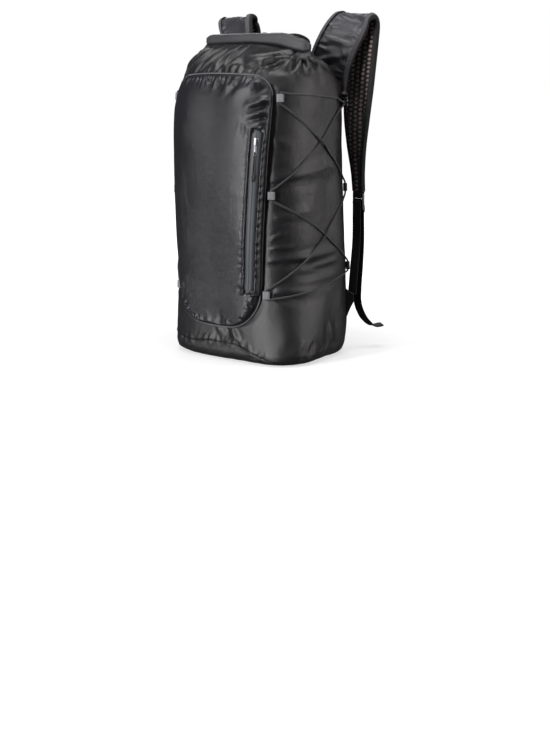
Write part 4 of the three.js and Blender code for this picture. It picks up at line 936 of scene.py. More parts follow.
def shape_puller():
    """The slider's puller: a waisted metal tab with a ring at its top and a slot at its foot."""
    shape = bmesh.new()
    bmesh.ops.create_grid(shape, x_segments=5, y_segments=12, size=0.5)
    for vert in shape.verts:
        vert.co = Vector((vert.co.x * 4.6, vert.co.y * 14.4, 0))
    holes = [
        face for face in shape.faces
        if abs(face.calc_center_median().x) < 1.2
        and -6.4 < face.calc_center_median().y < -1.5
    ]
    bmesh.ops.delete(shape, geom=holes, context="FACES")
    for vert in shape.verts:
        vert.co.x *= 1 - 0.2 * math.cos(vert.co.y / 7.2 * math.pi / 2)
        vert.co.z += 0.6 * (1 - (vert.co.y / 7.2) ** 2)
    made = bmesh.ops.extrude_face_region(shape, geom=list(shape.faces))
    lifted = [part for part in made["geom"] if isinstance(part, bmesh.types.BMVert)]
    bmesh.ops.translate(shape, vec=(0, 0, 1.1), verts=lifted)
    bmesh.ops.recalc_face_normals(shape, faces=shape.faces)
    edges = [edge for edge in shape.edges if edge.calc_face_angle(0) > 0.7]
    round_edges(shape, edges, 0.3, 2)
    place_shape(shape, *zip_frame(PULL_FOOT + PULLER_LENGTH / 2, 0.5))
    return shape_mesh("zip_puller_tab", shape)


def pull_cord_line():
    """The doubled cord through the puller: down one strand into the knot, and up the other."""
    top = PULL_FOOT + 4
    rows = [(0, 2.2, 1.4), (0.9, 1.2, 1.3), (1.15, -2, 1.1), (1.2, -9, 1.2), (1.35, -18, 1.3),
            (1.2, -27, 1.6), (0.8, -33, 2.2)]
    strand = [(-a, b, c) for a, b, c in reversed(rows[1:])] + rows
    line = []
    for across, rise, stand in strand:
        middle, side, _, _ = zip_frame(top + rise, stand)
        line.append(middle + side * across)
    return np.array(line)


def shape_pull_cord():
    """The pull's two strands."""
    line, heading = along_path(pull_cord_line(), 150)
    facing = np.tile([0.2, -1.0, 0], (len(line), 1))
    return make_cord("pull_cord", line, heading, facing, PULL_CORD_RADIUS * 0.95, sides=12)


def shape_pull_knot():
    """The pull's overhand knot with its two cut ends."""
    middle, side, up, out = zip_frame(PULL_FOOT - 31, 2.4)
    turn = np.linspace(0, 2 * np.pi, 41)[:-1]
    radius = 1.6 + 0.75 * np.cos(3 * turn)
    knot = columns(radius * np.cos(2 * turn), radius * np.sin(2 * turn) * 1.1, 1.1 * np.sin(3 * turn))
    points = middle + knot @ np.stack([side, up, out])
    line, heading = along_path(points, 120, closed=True)
    facing = np.tile(out, (len(line), 1))
    return make_cord("pull_knot", line, heading, facing, PULL_CORD_RADIUS * 1.02, closed=True, sides=10)


def shape_knot_end(way):
    """One cut end of the cord below its knot."""
    middle, side, up, out = zip_frame(PULL_FOOT - 31, 2.2)
    rows = [(0.6, -1, 0), (1.1, -3, -0.1), (1.5, -5, -0.4), (1.9, -6.6, -0.7)]
    points = [middle + side * a * way + up * b + out * c for a, b, c in rows]
    line, heading = along_path(points, 16)
    facing = np.tile(out, (len(line), 1))
    return make_cord(f"knot_end_{way}", line, heading, facing, PULL_CORD_RADIUS * 0.95, sides=10)


# Heights of the cord's holders on each side of the body, in millimetres
FRONT_HOLDERS = {"upper": 402, "middle": 258, "lower": 107}
BACK_HOLDERS = {"upper": 396, "middle": 262, "lower": 138}


def on_side(turn, side):
    """A turn on the right of the body and its twin on the left."""
    return np.asarray(turn, float) if side > 0 else 180 - np.asarray(turn, float)


def front_holder_turn(height, side):
    """The turn at which a front loop sits beside the pocket."""
    place = float(pocket_half_width(np.array(float(height)))) + 3.5 + LOOP_REACH / 2
    turn = float(front_turn(np.array(side * place), np.array(float(height))))
    return turn if side > 0 else (180 - turn + 180) % 360 - 180


def side_frame(turn, height, lift, side):
    """A point off the body's plain form with the directions out, up and round to the back."""
    turned = on_side(turn, side)
    share = np.atleast_1d(height / BODY_HEIGHT)
    out = body_normal(np.atleast_1d(turned), share)[0]
    up = np.array([0, 0, 1.0]) - out * out[2]
    up = up / np.linalg.norm(up)
    around = np.cross(up, out) * side
    middle = body_point(np.atleast_1d(turned), share)[0] + out * lift
    return middle, out, up, around / np.linalg.norm(around)


def lock_frame(side):
    """Where a cord lock lies: its middle and its directions out, up and round."""
    lead = BACK_ANGLE - math.degrees(LOCK_LEAD / (BODY_WIDTH / 2))
    middle, out, up, around = side_frame(lead, BACK_HOLDERS["upper"], LOCK_DIAMETER / 2 + 0.3, side)
    tilt = Matrix.Rotation(math.radians(LOCK_TILT) * side, 3, Vector(out))
    up = np.array(tilt @ Vector(up))
    around = np.cross(up, out) * side
    return middle, out, up, around / np.linalg.norm(around)


def crossing(start, end, other_start, other_end):
    """How far along one leg of the cord another leg crosses it."""
    run = np.subtract(end, start)
    other = np.subtract(other_end, other_start)
    gap = np.subtract(other_start, start)
    return (gap[0] * other[1] - gap[1] * other[0]) / (run[0] * other[1] - run[1] * other[0])


def cord_route(side, radius):
    """The side cord's line, laid tight over the cloth from holder to holder."""
    middle, out, up, around = lock_frame(side)
    ahead = {name: front_holder_turn(height, side) for name, height in FRONT_HOLDERS.items()}
    exit_gap = LOOP_LENGTH / 2 + 1
    line = []
    facing = []

    def leg(start, end, count, start_lift, end_lift, over=None):
        share = (np.arange(count) + 1) / (count + 1)
        turns = start[0] + (end[0] - start[0]) * share
        heights = start[1] + (end[1] - start[1]) * share
        skin, normal, _ = body_cloth(on_side(turns, side), heights / BODY_HEIGHT)
        plain = body_point(on_side(turns, side), heights / BODY_HEIGHT)
        relief = ((skin - plain) * normal).sum(1)
        high = np.maximum(relief, np.maximum(np.roll(relief, 1), np.roll(relief, -1)))
        high[0], high[-1] = relief[0], relief[-1]
        level = np.convolve(np.pad(high, 2, mode="edge"), np.ones(5) / 5, mode="valid")
        lift = np.maximum(level, relief - 0.3) + radius - 0.15
        lift = lift + (start_lift - lift) * bell(share, 0.05)
        lift = lift + (end_lift - lift) * bell(1 - share, 0.05)
        if over is not None:
            lift = lift + 2 * radius * bell(share - over, 0.06)
        line.extend(plain + normal * lift[:, None])
        facing.extend(normal)

    def through_loop(turn, height, direction):
        for shift in (exit_gap, 0, -exit_gap):
            spot, normal, _, _ = side_frame(turn, height + shift * direction, LOOP_STAND, side)
            line.append(spot)
            facing.append(normal)

    def in_lock(places):
        for across, rise, stand in places:
            line.append(middle + around * across + up * rise + out * stand)
            facing.append(out)

    strand = STRAND_STEP / 2
    lead = LOCK_DIAMETER / 2 + 1.5
    back = float(BACK_ANGLE)
    lock_turn = back - math.degrees(LOCK_LEAD * 2 / (BODY_WIDTH / 2))
    upper = (ahead["upper"], FRONT_HOLDERS["upper"])
    mid = (ahead["middle"], FRONT_HOLDERS["middle"])
    low = (ahead["lower"], FRONT_HOLDERS["lower"])
    lock_up = (lock_turn, BACK_HOLDERS["upper"] + 4)
    lock_down = (lock_turn, BACK_HOLDERS["upper"] - 12)
    back_mid = (back, BACK_HOLDERS["middle"])
    back_low = (back, BACK_HOLDERS["lower"])
    cross_high = crossing(upper, back_mid, mid, lock_down)
    cross_low = crossing(back_mid, low, back_low, mid)
    in_lock([(lead, strand, 0), (0, strand, 0), (-lead, strand, 0)])
    leg(lock_up, (upper[0], upper[1] + exit_gap), 14, 4, LOOP_STAND)
    through_loop(*upper, 1)
    leg((upper[0], upper[1] - exit_gap), (back, back_mid[1] + exit_gap), 34, LOOP_STAND, LOOP_STAND,
        over=cross_high)
    through_loop(*back_mid, 1)
    leg((back, back_mid[1] - exit_gap), (low[0], low[1] + exit_gap), 36, LOOP_STAND, LOOP_STAND,
        over=cross_low)
    through_loop(*low, 1)
    leg((low[0], low[1] - exit_gap), (back, back_low[1] - exit_gap), 26, LOOP_STAND, LOOP_STAND)
    through_loop(*back_low, -1)
    leg((back, back_low[1] + exit_gap), (mid[0], mid[1] - exit_gap), 32, LOOP_STAND, LOOP_STAND)
    through_loop(*mid, -1)
    leg((mid[0], mid[1] + exit_gap), lock_down, 30, LOOP_STAND, 4.5)
    in_lock([(-lead, -strand, 0), (0, -strand, 0), (lead, -strand, 0),
             (lead + 5, -strand - 3, 1), (lead + 8, -strand - 8, 1.5), (lead + 9, -strand - 13, 1),
             (lead + 6, -strand - 15, 0.5), (lead + 4, -strand - 9, 1), (lead + 3.5, 0, 1)])
    return np.array(line), np.array(facing)


def shape_side_cord(side):
    """The elastic cord of one side."""
    radius = bpy.context.scene.pack_sizes.cord_diameter / MM / 2
    points, _ = cord_route(side, radius)
    line, heading = along_path(points, fineness(760), closed=True)
    middle = np.array([0, -8.0, 0])
    out = (line - middle) * np.array([1, 1.2, 0.05])
    return make_cord(f"side_cord_{side}", line, heading, unit(out), radius, closed=True, sides=12)


def rounded_loop(half_wide, half_high, corner, count):
    """Evenly spaced places round a rounded rectangle."""
    places = []
    for middle_x, middle_y, start in (
        (half_wide - corner, half_high - corner, 0),
        (corner - half_wide, half_high - corner, 90),
        (corner - half_wide, corner - half_high, 180),
        (half_wide - corner, corner - half_high, 270),
    ):
        for turn in np.radians(np.linspace(start, start + 90, 7)):
            places.append((middle_x + corner * math.cos(turn), middle_y + corner * math.sin(turn)))
    places = np.array(places + places[:1])
    reach = reach_along(places)
    spots = np.linspace(0, reach[-1], count + 1)
    return np.stack([np.interp(spots, reach, places[:, k]) for k in (0, 1)], axis=1)


def band_loop(name, middle, across, out, up, half_wide, half_high, corner, width, thick):
    """A band that closes on itself round a cord or a bar; its width lies along up."""
    places = rounded_loop(half_wide, half_high, corner, 56)
    line = middle + np.outer(places[:, 0], across) + np.outer(places[:, 1], out)
    step = np.roll(places[:-1], -1, axis=0) - np.roll(places[:-1], 1, axis=0)
    step = np.vstack([step, step[:1]])
    outward = unit(columns(step[:, 1], -step[:, 0]))
    faces = np.outer(outward[:, 0], across) + np.outer(outward[:, 1], out)
    widths = np.tile(up, (len(line), 1))
    return make_band(name, line, widths, faces, width, thick, ribs=0.05, closed=True)


def shape_cord_loop(name, turn, height, side):
    """A folded webbing loop that holds the cord."""
    middle, out, up, around = side_frame(turn, height, LOOP_STAND, side)
    half = LOOP_REACH / 2 - LOOP_STRAP / 2
    high = LOOP_STAND - 0.3 - LOOP_STRAP / 2
    return band_loop(name, middle, around, out, up, half, high, 2.2, LOOP_LENGTH, LOOP_STRAP)


def place_shape(shape, middle, out, around, up):
    """Moves what was modelled upright at the origin to a place, in millimetres."""
    turned = Matrix((Vector(out), Vector(around), Vector(up))).transposed().to_4x4()
    bmesh.ops.transform(shape, matrix=Matrix.Translation(middle) @ turned, verts=shape.verts)


def turned_shape(profile, sides=40):
    """A round shape spun from a profile of radius and height about the upright axis."""
    shape = bmesh.new()
    points = [shape.verts.new((radius, 0, height)) for radius, height in profile]
    edges = [shape.edges.new((a, b)) for a, b in zip(points, points[1:])]
    bmesh.ops.spin(
        shape, geom=points + edges, cent=(0, 0, 0), axis=(0, 0, 1),
        angle=2 * math.pi, steps=sides, use_merge=True, use_duplicate=False,
    )
    bmesh.ops.remove_doubles(shape, verts=shape.verts, dist=1e-4)
    return shape


def round_edges(shape, edges, offset, segments):
    """Rounds edges of a shape."""
    bmesh.ops.bevel(shape, geom=edges, offset=offset, offset_type="OFFSET", segments=segments,
                    profile=0.5, affect="EDGES", material=-1)


def add_rounded_box(shape, middle, size, bevel, segments=3):
    """Adds a box with rounded edges."""
    made = bmesh.ops.create_cube(shape, size=1)["verts"]
    bmesh.ops.scale(shape, vec=size, verts=made)
    bmesh.ops.translate(shape, vec=middle, verts=made)
    edges = list({edge for vert in made for edge in vert.link_edges})
    round_edges(shape, edges, bevel, segments)


def shape_lock_barrel(side):
    """The lock's barrel with its rims, its grip rings and the collars of the cord's hole."""
    half = LOCK_HEIGHT / 2
    rim = LOCK_DIAMETER / 2
    profile = [(0, -half), (rim - 1.4, -half), (rim - 0.4, -half + 0.4), (rim, -half + 1.4)]
    for height in (-4.6, -3.4, 3.4, 4.6):
        profile += [(rim, height - 0.45), (rim - 0.5, height - 0.15),
                    (rim - 0.5, height + 0.15), (rim, height + 0.45)]
    profile += [(rim, half - 1.4), (rim - 0.4, half - 0.4), (rim - 1.2, half), (4.5, half),
                (4.5, half - 4.2), (0, half - 4.2)]
    shape = turned_shape(profile)
    for way in (-1, 1):
        ring = bmesh.ops.create_cone(
            shape, cap_ends=False, segments=24, radius1=3.6, radius2=3, depth=1.2
        )["verts"]
        turn = Matrix.Rotation(math.radians(-90 * way), 4, "X")
        bmesh.ops.transform(shape, matrix=turn, verts=ring)
        bmesh.ops.scale(shape, vec=(0.72, 1, 1.15), verts=ring)
        bmesh.ops.translate(shape, vec=(0, way * (rim - 0.1), 0), verts=ring)
    middle, out, up, around = lock_frame(side)
    place_shape(shape, middle, out, around, up)
    return shape_mesh(f"lock_barrel_{side}", shape)


def shape_lock_plunger(side):
    """The lock's sprung plunger with a ribbed cap."""
    half = LOCK_HEIGHT / 2
    profile = [(0, half - 1.1), (3.9, half - 1.1), (3.9, half + 3.4), (4.4, half + 3.6)]
    profile += [(5, half + 3.9), (5, half + 5.1), (4.3, half + 5.9), (3.2, half + 6.1)]
    profile += [(2.6, half + 5.7), (0, half + 5.6)]
    shape = turned_shape(profile, sides=36)
    middle, out, up, around = lock_frame(side)
    place_shape(shape, middle, out, around, up)
    return shape_mesh(f"lock_plunger_{side}", shape)


# Stations of the right strap from its root over the bend to the buckle: spread, back and
# height as shares of its sizes, width of its own, turn in degrees
# Columns: spread, back, height, width, turn
STRAP_STATIONS = np.array([
    (0.67, 0.62, 0.78, 1, 15),
    (0.7, 0.6, 0.82, 1, 15),
    (0.735, 0.6, 0.862, 1, 15),
    (0.8, 0.635, 0.908, 1, 15),
    (0.881, 0.701, 0.952, 1, 14),
    (0.965, 0.784, 0.985, 1, 10),
    (1.005, 0.866, 0.999, 1, 4),
    (1.018, 0.943, 0.994, 1, -3),
    (1.02, 0.99, 0.973, 1, -8),
    (1.015, 1, 0.935, 1, -12),
    (1, 0.98, 0.872, 1, -13),
    (1, 0.938, 0.795, 0.95, -14),
    (1, 0.897, 0.709, 0.82, -14),
    (1, 0.897, 0.623, 0.6, -14),
    (1, 0.938, 0.546, 0.41, -14),
    (1, 0.969, 0.4853, 0.36, -14),
])

# Creases of the strap's outer face: along and across it as shares, width and depth in
# millimetres
# Columns: along, across, to along, to across, width, depth
STRAP_CREASES = [
    (0.1, -0.9, 0.16, 0.5, 4, -2.6),
    (0.13, -0.8, 0.2, 0.8, 4, 2.3),
    (0.19, -0.9, 0.22, 0.4, 3.5, -2.3),
    (0.16, 0.9, 0.21, 0.1, 3, -1.7),
    (0.23, -0.8, 0.24, 0.7, 4, 2),
    (0.27, 0.9, 0.25, 0, 3, -2),
    (0.3, 0.9, 0.29, 0.2, 2.6, 1.4),
    (0.26, -0.9, 0.3, -0.1, 3, -1.4),
    (0.36, -0.9, 0.38, 0.9, 4, -2),
    (0.42, -0.9, 0.44, 0.9, 4, 1.7),
    (0.47, -0.9, 0.47, 0.9, 4, -2.2),
    (0.52, -0.9, 0.54, 0.9, 5, 1.4),
    (0.6, -0.9, 0.63, 0.9, 5, -1.4),
    (0.7, -0.9, 0.72, 0.9, 5, 1.2),
]


def strap_frames(steps, side):
    """The strap's stations: middle, width direction, face direction and width."""
    row = np.linspace(0, len(STRAP_STATIONS) - 1, steps + 1)
    index = np.arange(len(STRAP_STATIONS))
    scale = (STRAP_SPREAD / 2, STRAP_BACK, STRAP_TOP)

    def read(at):
        return np.stack([through(at, index, STRAP_STATIONS[:, k]) * scale[k] for k in range(3)], axis=1)

    middle = read(row)
    heading = unit(read(row + 0.05) - read(row - 0.05))
    turn = np.radians(through(row, index, STRAP_STATIONS[:, 4]))
    across = columns(np.cos(turn), np.sin(turn), 0 * turn)
    across = unit(across - heading * (across * heading).sum(1, keepdims=True))
    face = unit(np.cross(across, heading))
    width = np.maximum(through(row, index, STRAP_STATIONS[:, 3]) * STRAP_WIDTH, STRAP_END_WIDTH)
    flip = np.array([side, 1, 1])
    return middle * flip, across * flip, face * flip, width


def strap_creases(side):
    """Every crease of the strap's outer face as a path on it."""
    rows = list(STRAP_CREASES)
    dice = np.random.default_rng(31 + side)
    for along in np.arange(0.05, 0.9, 0.017):
        for edge in (-1, 1):
            if dice.uniform() < 0.75:
                rows.append((along, edge * 0.84, along + dice.uniform(-0.012, 0.012),
                             edge * dice.uniform(0.25, 0.6), 2.2,
                             dice.choice([-1, 1]) * dice.uniform(0.7, 1.5)))
    middle, across, face, width = strap_frames(400, side)
    paths = []
    for along, place, to_along, to_place, wide, depth in rows:
        run = np.linspace(0, 1, 4)
        at = np.clip(np.round((along + (to_along - along) * run) * 400), 0, 400).astype(int)
        offset = (place + (to_place - place) * run) * width[at] / 2
        points = middle[at] + across[at] * offset[:, None] + face[at] * STRAP_FOAM
        paths.append((points, wide, depth, 0.2))
    return paths


def shape_strap_pad(side):
    """The strap's foam pad in its wrinkled outer cloth."""
    steps = fineness(260)
    middle, across, face, width = strap_frames(steps, side)
    reach = reach_along(middle)
    paths = strap_creases(side)

    def place(u, v):
        row = np.round(v * steps).astype(int)
        half = width[row] / 2 - BINDING_THICK - LAYER_GAP
        over = np.interp(u, [0, 0.7, 0.75, 0.95, 1], [-1, 1, 1, -1, -1])
        crown = 2 + (STRAP_FOAM - 1.6) * (1 - np.abs(over).clip(0, 1) ** 3.2) ** 0.6
        out = np.interp(u, [0, 0.7, 0.75, 0.95, 1], [1, 1, 0, 0, 1]) * crown
        points = middle[row] + across[row] * (over * half)[:, None] + face[row] * out[:, None]
        relief = np.zeros(len(points))
        for path, wide, depth, fade in paths:
            relief += crease_depth(points, path, wide, depth, fade)
        relief += 0.9 * speckle(points, 24, 12) + 0.5 * speckle(points, 9, 13)
        strength = bpy.context.scene.pack_sizes.crease
        outer = (u < 0.7) * np.clip((1 - np.abs(over)) * 4, 0, 1)
        relief = relief * outer * strength
        points = points + face[row] * relief[:, None]
        return points, columns(over * half + 80 * (u > 0.72), reach[row]), relief

    return make_sheet(f"strap_pad_{side}", 88, steps, place, closed=True, capped=True)


MESH_ACROSS = 24
MESH_ALONG = 6.8
MESH_SQUASH = 0.6


def mesh_hole(x, y):
    """Distance from the nearest hole of the spacer mesh, in millimetres."""
    near = []
    for shift in (0, 0.5):
        across = (((x / MESH_ACROSS + shift + 0.5) % 1) - 0.5) * MESH_ACROSS
        along = (((y / MESH_ALONG + shift + 0.5) % 1) - 0.5) * MESH_ALONG
        near.append(np.hypot(across * MESH_SQUASH, along))
    return np.minimum(*near)


def shape_strap_mesh(side):
    """The spacer mesh under the strap with its staggered holes."""
    steps = fineness(420)
    middle, across, face, width = strap_frames(steps, side)
    reach = reach_along(middle)

    def place(u, v):
        row = np.round(v * steps).astype(int)
        half = width[row] / 2 - BINDING_THICK - LAYER_GAP
        over = np.interp(u, [0, 0.8, 0.83, 0.97, 1], [-1, 1, 1, -1, -1])
        under = -LAYER_GAP - STRAP_MESH
        out = np.interp(u, [0, 0.8, 0.83, 0.97, 1], [1, 1, 0, 0, 1]) * (under + LAYER_GAP) - LAYER_GAP
        hole = mesh_hole(over * half, reach[row])
        visible = (u < 0.8) * np.clip((1 - np.abs(over)) * 6, 0, 1)
        net = 0.55 * smooth(1.4, 2.6, hole) - 0.5
        puff = -0.9 * (1 - np.abs(over) ** 2.5)
        out = out + visible * (puff - net)
        points = middle[row] + across[row] * (over * half)[:, None] + face[row] * out[:, None]
        return points, columns(over * half, reach[row])

    return make_sheet(f"strap_mesh_{side}", 76, steps, place, closed=True, capped=True)


def shape_binding(side, edge):
    """The tape folded round one edge of the strap; edge is 1 for its outer side."""
    steps = fineness(300)
    middle, across, face, width = strap_frames(steps, side)
    reach = reach_along(middle)
    top = STRAP_FOAM + LAYER_GAP
    shoulder = STRAP_MESH + LAYER_GAP * 2
    under = -STRAP_MESH - LAYER_GAP * 2
    outline = [
        (BINDING_WIDTH, top), (BINDING_THICK, shoulder), (BINDING_THICK, under),
        (BINDING_WIDTH, under), (BINDING_WIDTH, under - BINDING_THICK),
        (0, under - BINDING_THICK), (0, shoulder + BINDING_THICK),
        (BINDING_WIDTH, top + BINDING_THICK),
    ]
    ring = np.array(outline, float)
    for _ in range(2):
        after = np.roll(ring, -1, axis=0)
        ring = columns(ring * 0.78 + after * 0.22, ring * 0.22 + after * 0.78)
        ring = ring.reshape(-1, 2)
    count = len(ring)
    path = reach_along(ring)

    def place(u, v):
        row = np.round(v * steps).astype(int)
        spot = np.round(u * count).astype(int) % count
        inward, out = ring[spot, 0], ring[spot, 1]
        wave = 0.45 * np.sin(reach[row] * 0.7 + 2 * np.sin(reach[row] * 0.11)) * (inward > 4)
        root = 0.55 + 0.45 * smooth(0, 0.16, v)
        over = edge * (width[row] / 2 - inward * root)
        points = middle[row] + across[row] * over[:, None]
        points = points + face[row] * ((out + wave * 0.6) * (0.7 + 0.3 * root))[:, None]
        under = np.where(out < shoulder + 0.6, 5.0, 0.0)
        return points, columns(path[spot], reach[row]), under

    return make_sheet(f"binding_{side}_{edge}", count, steps, place, closed=True, capped=True)


STRAP_END = STRAP_STATIONS[-1]
STRAP_TURN = math.radians(STRAP_END[4])


def ladder_frame(side):
    """The ladder buckle's middle and its directions across, up and out."""
    flip = np.array([side, 1, 1])
    height = STRAP_END[2] * STRAP_TOP - 2.3 - LADDER_LENGTH / 2
    middle = np.array([STRAP_END[0] * STRAP_SPREAD / 2, STRAP_END[1] * STRAP_BACK, height])
    across = np.array([math.cos(STRAP_TURN), math.sin(STRAP_TURN), 0])
    out = np.array([-math.sin(STRAP_TURN), math.cos(STRAP_TURN), 0])
    return middle * flip, across * flip, np.array([0, 0, 1.0]), out * flip


def shape_ladder(side):
    """The ladder buckle: a frame with two slots, a raised middle bar and a lifting lip."""
    shape = bmesh.new()
    bmesh.ops.create_grid(shape, x_segments=3, y_segments=5, size=0.5)
    places = [-LADDER_WIDTH / 2, -WEB_WIDTH / 2 - 0.75, WEB_WIDTH / 2 + 0.75, LADDER_WIDTH / 2]
    bar = LADDER_BAR / 2
    rows = [-LADDER_LENGTH / 2, -bar - LADDER_SLOT, -bar, bar + 3.4, bar + LADDER_SLOT, LADDER_LENGTH / 2]
    for vert in shape.verts:
        vert.co.x = places[round((vert.co.x + 0.5) * 3)]
        vert.co.y = rows[round((vert.co.y + 0.5) * 5)]
    slots = [
        face for face in shape.faces
        if abs(face.calc_center_median().x) < 1
        and bar < abs(face.calc_center_median().y) < bar + LADDER_SLOT
    ]
    bmesh.ops.delete(shape, geom=slots, context="FACES")
    made = bmesh.ops.extrude_face_region(shape, geom=list(shape.faces))
    lifted = [part for part in made["geom"] if isinstance(part, bmesh.types.BMVert)]
    bmesh.ops.translate(shape, vec=(0, 0, LADDER_THICK), verts=lifted)
    bmesh.ops.translate(shape, vec=(0, 0, -LADDER_THICK / 2), verts=shape.verts)
    bmesh.ops.recalc_face_normals(shape, faces=shape.faces)
    for vert in shape.verts:
        if vert.co.y < -LADDER_LENGTH / 2 + 0.1:
            vert.co.z += 1.6
            vert.co.y -= 1.2
    edges = [edge for edge in shape.edges if not edge.is_boundary and edge.calc_face_angle(0) > 0.6]
    round_edges(shape, edges, 0.9, 3)
    for rise in (-11.6, -13.2):
        add_rounded_box(shape, (0, rise, 3.4), (17, 0.8, 0.9), 0.3, 2)
    place_shape(shape, *ladder_frame(side))
    return shape_mesh(f"ladder_{side}", shape)


# The free tail below the buckle: out and across as shares of its reach, drop of its own
# Columns: out, drop, across
TAIL_STATIONS = [
    (0.016, 0.299, 0),
    (0.026, 0.522, -0.079),
    (0.026, 0.697, -0.158),
    (0.053, 0.796, -0.184),
    (0.184, 0.886, -0.132),
    (0.368, 0.955, 0),
    (0.632, 1, 0.158),
    (1, 0.995, 0.316),
]


def anchor_frame(rise, stand, side):
    """A point of the anchor's cloth with the directions out, up and round."""
    return side_frame(ANCHOR_ANGLE, ANCHOR_HEIGHT + rise, stand, side)


def shape_strap_webbing(side):
    """Webbing from the anchor through the ladder buckle and down as a free tail."""
    middle, across, up, out = ladder_frame(side)
    skin = LADDER_THICK / 2 + 0.6 + WEB_THICK / 2
    slot = (LADDER_BAR + LADDER_SLOT) / 2
    over = LADDER_BAR / 2 + 1.2 + WEB_THICK / 2
    rows = [
        (-skin, -LADDER_LENGTH * 2, 0), (-skin, -LADDER_LENGTH * 0.64, 0), (-skin, -slot, 0),
        (-skin, over * 0.3, 0), (-skin * 0.72, over * 0.85, 0), (0, over, 0),
        (skin * 0.72, over * 0.85, 0), (skin, over * 0.3, 0), (skin, -slot, 0),
        (skin, -LADDER_LENGTH * 0.7, 0),
    ]
    rows += [(skin + away * TAIL_REACH, -drop * TAIL_DROP, stray * TAIL_REACH)
             for away, drop, stray in TAIL_STATIONS]
    points = [middle + out * a + up * b + across * c for a, b, c in rows]
    tip, _, _, around = anchor_frame(14, TAB_REACH - 4, side)
    tip = tip + around * (4 + WEB_THICK)
    points = [tip, tip + (points[0] - tip) * 0.35] + points
    line, heading = along_path(points, fineness(420))
    widths = unit(across - heading * (heading @ across)[:, None])
    faces = unit(np.cross(widths, heading))
    reach = reach_along(line)
    thick = WEB_THICK + 1.1 * smooth(reach[-1] - 15, reach[-1] - 14, reach)
    return make_band(f"webbing_{side}", line, widths, faces, WEB_WIDTH, thick, ribs=0.06)


def shape_strap_tab(side):
    """The strap's end folded round the ladder buckle's top bar."""
    middle, across, up, out = ladder_frame(side)
    bar = (LADDER_LENGTH - LADDER_BAR - LADDER_SLOT * 2) / 2
    middle = middle + up * (LADDER_LENGTH / 2 - bar / 2)
    deep = LADDER_THICK / 2 + 0.6 + WEB_THICK / 2
    high = bar / 2 + 0.9 + WEB_THICK / 2
    return band_loop(f"strap_tab_{side}", middle, out, up, across, deep, high, 1.6, WEB_WIDTH, WEB_THICK)


def shape_anchor(side):
    """A cloth triangle that stands out of the side seam and holds the webbing."""
    steps = 24
    stands = np.linspace(-CLOTH, TAB_REACH, steps + 1)
    share = (stands + CLOTH) / (TAB_REACH + CLOTH)
    low = np.interp(share, [0, 0.56, 1], [-0.5, -0.14, 0.08]) * TAB_HEIGHT
    high = np.interp(share, [0, 0.56, 1], [0.5, 0.38, 0.3]) * TAB_HEIGHT
    line, widths, faces = [], [], []
    for stand, bottom, top in zip(stands, low, high):
        middle, _, up, around = anchor_frame((bottom + top) / 2, stand, side)
        line.append(middle)
        widths.append(up)
        faces.append(around)
    return make_band(f"anchor_{side}", np.array(line), np.array(widths), np.array(faces), high - low, 1.8)


def shape_closure_webbing(side):
    """Webbing from one end of the roll to the clipped buckle behind it."""
    z = CLOSURE_HEIGHT
    end = ROLL_LENGTH / 2
    low = z - 4 + float(mouth_rise(side * end)) - 1.4 * float(end_dip(side * end))
    near = CLOSURE_BUCKLE[0] / 2 - 2
    back = float(roll_line(0.88)) + ROLL_DEPTH * 0.43 + 0.6 + CLOSURE_WEB_THICK / 2
    points = [
        (end * 0.84, back, low - 1), (end * 0.875, back + 4, low - 1),
        (end * 0.86, back + 11, (low * 3 + z) / 4 - 3),
        (end * 0.72, CLOSURE_REACH * 0.78, (low + z) / 2),
        (end * 0.5, CLOSURE_REACH * 0.95, z), (near, CLOSURE_REACH, z),
    ]
    points = np.array(points) * np.array([side, 1, 1])
    line, heading = along_path(points, fineness(90))
    widths = np.tile([0, 0, 1.0], (len(line), 1))
    widths = unit(widths - heading * heading[:, 2:3])
    faces = unit(np.cross(heading, widths))
    return make_band(f"closure_webbing_{side}", line, widths, faces, CLOSURE_WEB_WIDTH,
                     CLOSURE_WEB_THICK, ribs=0.06)


def shape_closure_buckle():
    """The clipped buckle: a socket, a plug with two side arms and the bars of its webbing."""
    shape = bmesh.new()
    long, thick, high = CLOSURE_BUCKLE
    add_rounded_box(shape, (-6, 0, 0), (long * 0.58, thick, high * 0.78), 2.4, 4)
    add_rounded_box(shape, (-17.5, 0, 0), (6, thick * 0.8, high * 0.96), 1.6, 3)
    add_rounded_box(shape, (14.5, 0, 0), (12, thick * 0.8, high * 0.9), 2, 3)
    for rise in (-1, 1):
        add_rounded_box(shape, (3.5, 0, rise * high * 0.36), (16, thick * 0.55, 4.4), 1.4, 3)
    add_rounded_box(shape, (-5, thick * 0.42, 0), (14, 2.2, 7), 0.9, 3)
    bmesh.ops.translate(shape, vec=(0, CLOSURE_REACH, CLOSURE_HEIGHT), verts=shape.verts)
    return shape_mesh("closure_buckle", shape)


def linear(red, green, blue):
    """A colour seen on a screen, as the linear values that Blender keeps."""
    return tuple(
        part / 3294.6 if part < 10.3 else ((part / 255 + 0.055) / 1.055) ** 2.4
        for part in (red, green, blue)
    )


def shader_group(name, inputs, outputs):
    """A new node group with named inputs and outputs."""
    group = bpy.data.node_groups.new(name, "ShaderNodeTree")
    for kind, label, default in inputs:
        socket = group.interface.new_socket(label, in_out="INPUT", socket_type=kind)
        if default is not None:
            socket.default_value = default
    for kind, label in outputs:
        group.interface.new_socket(label, in_out="OUTPUT", socket_type=kind)
    return group, group.nodes.new("NodeGroupInput"), group.nodes.new("NodeGroupOutput")


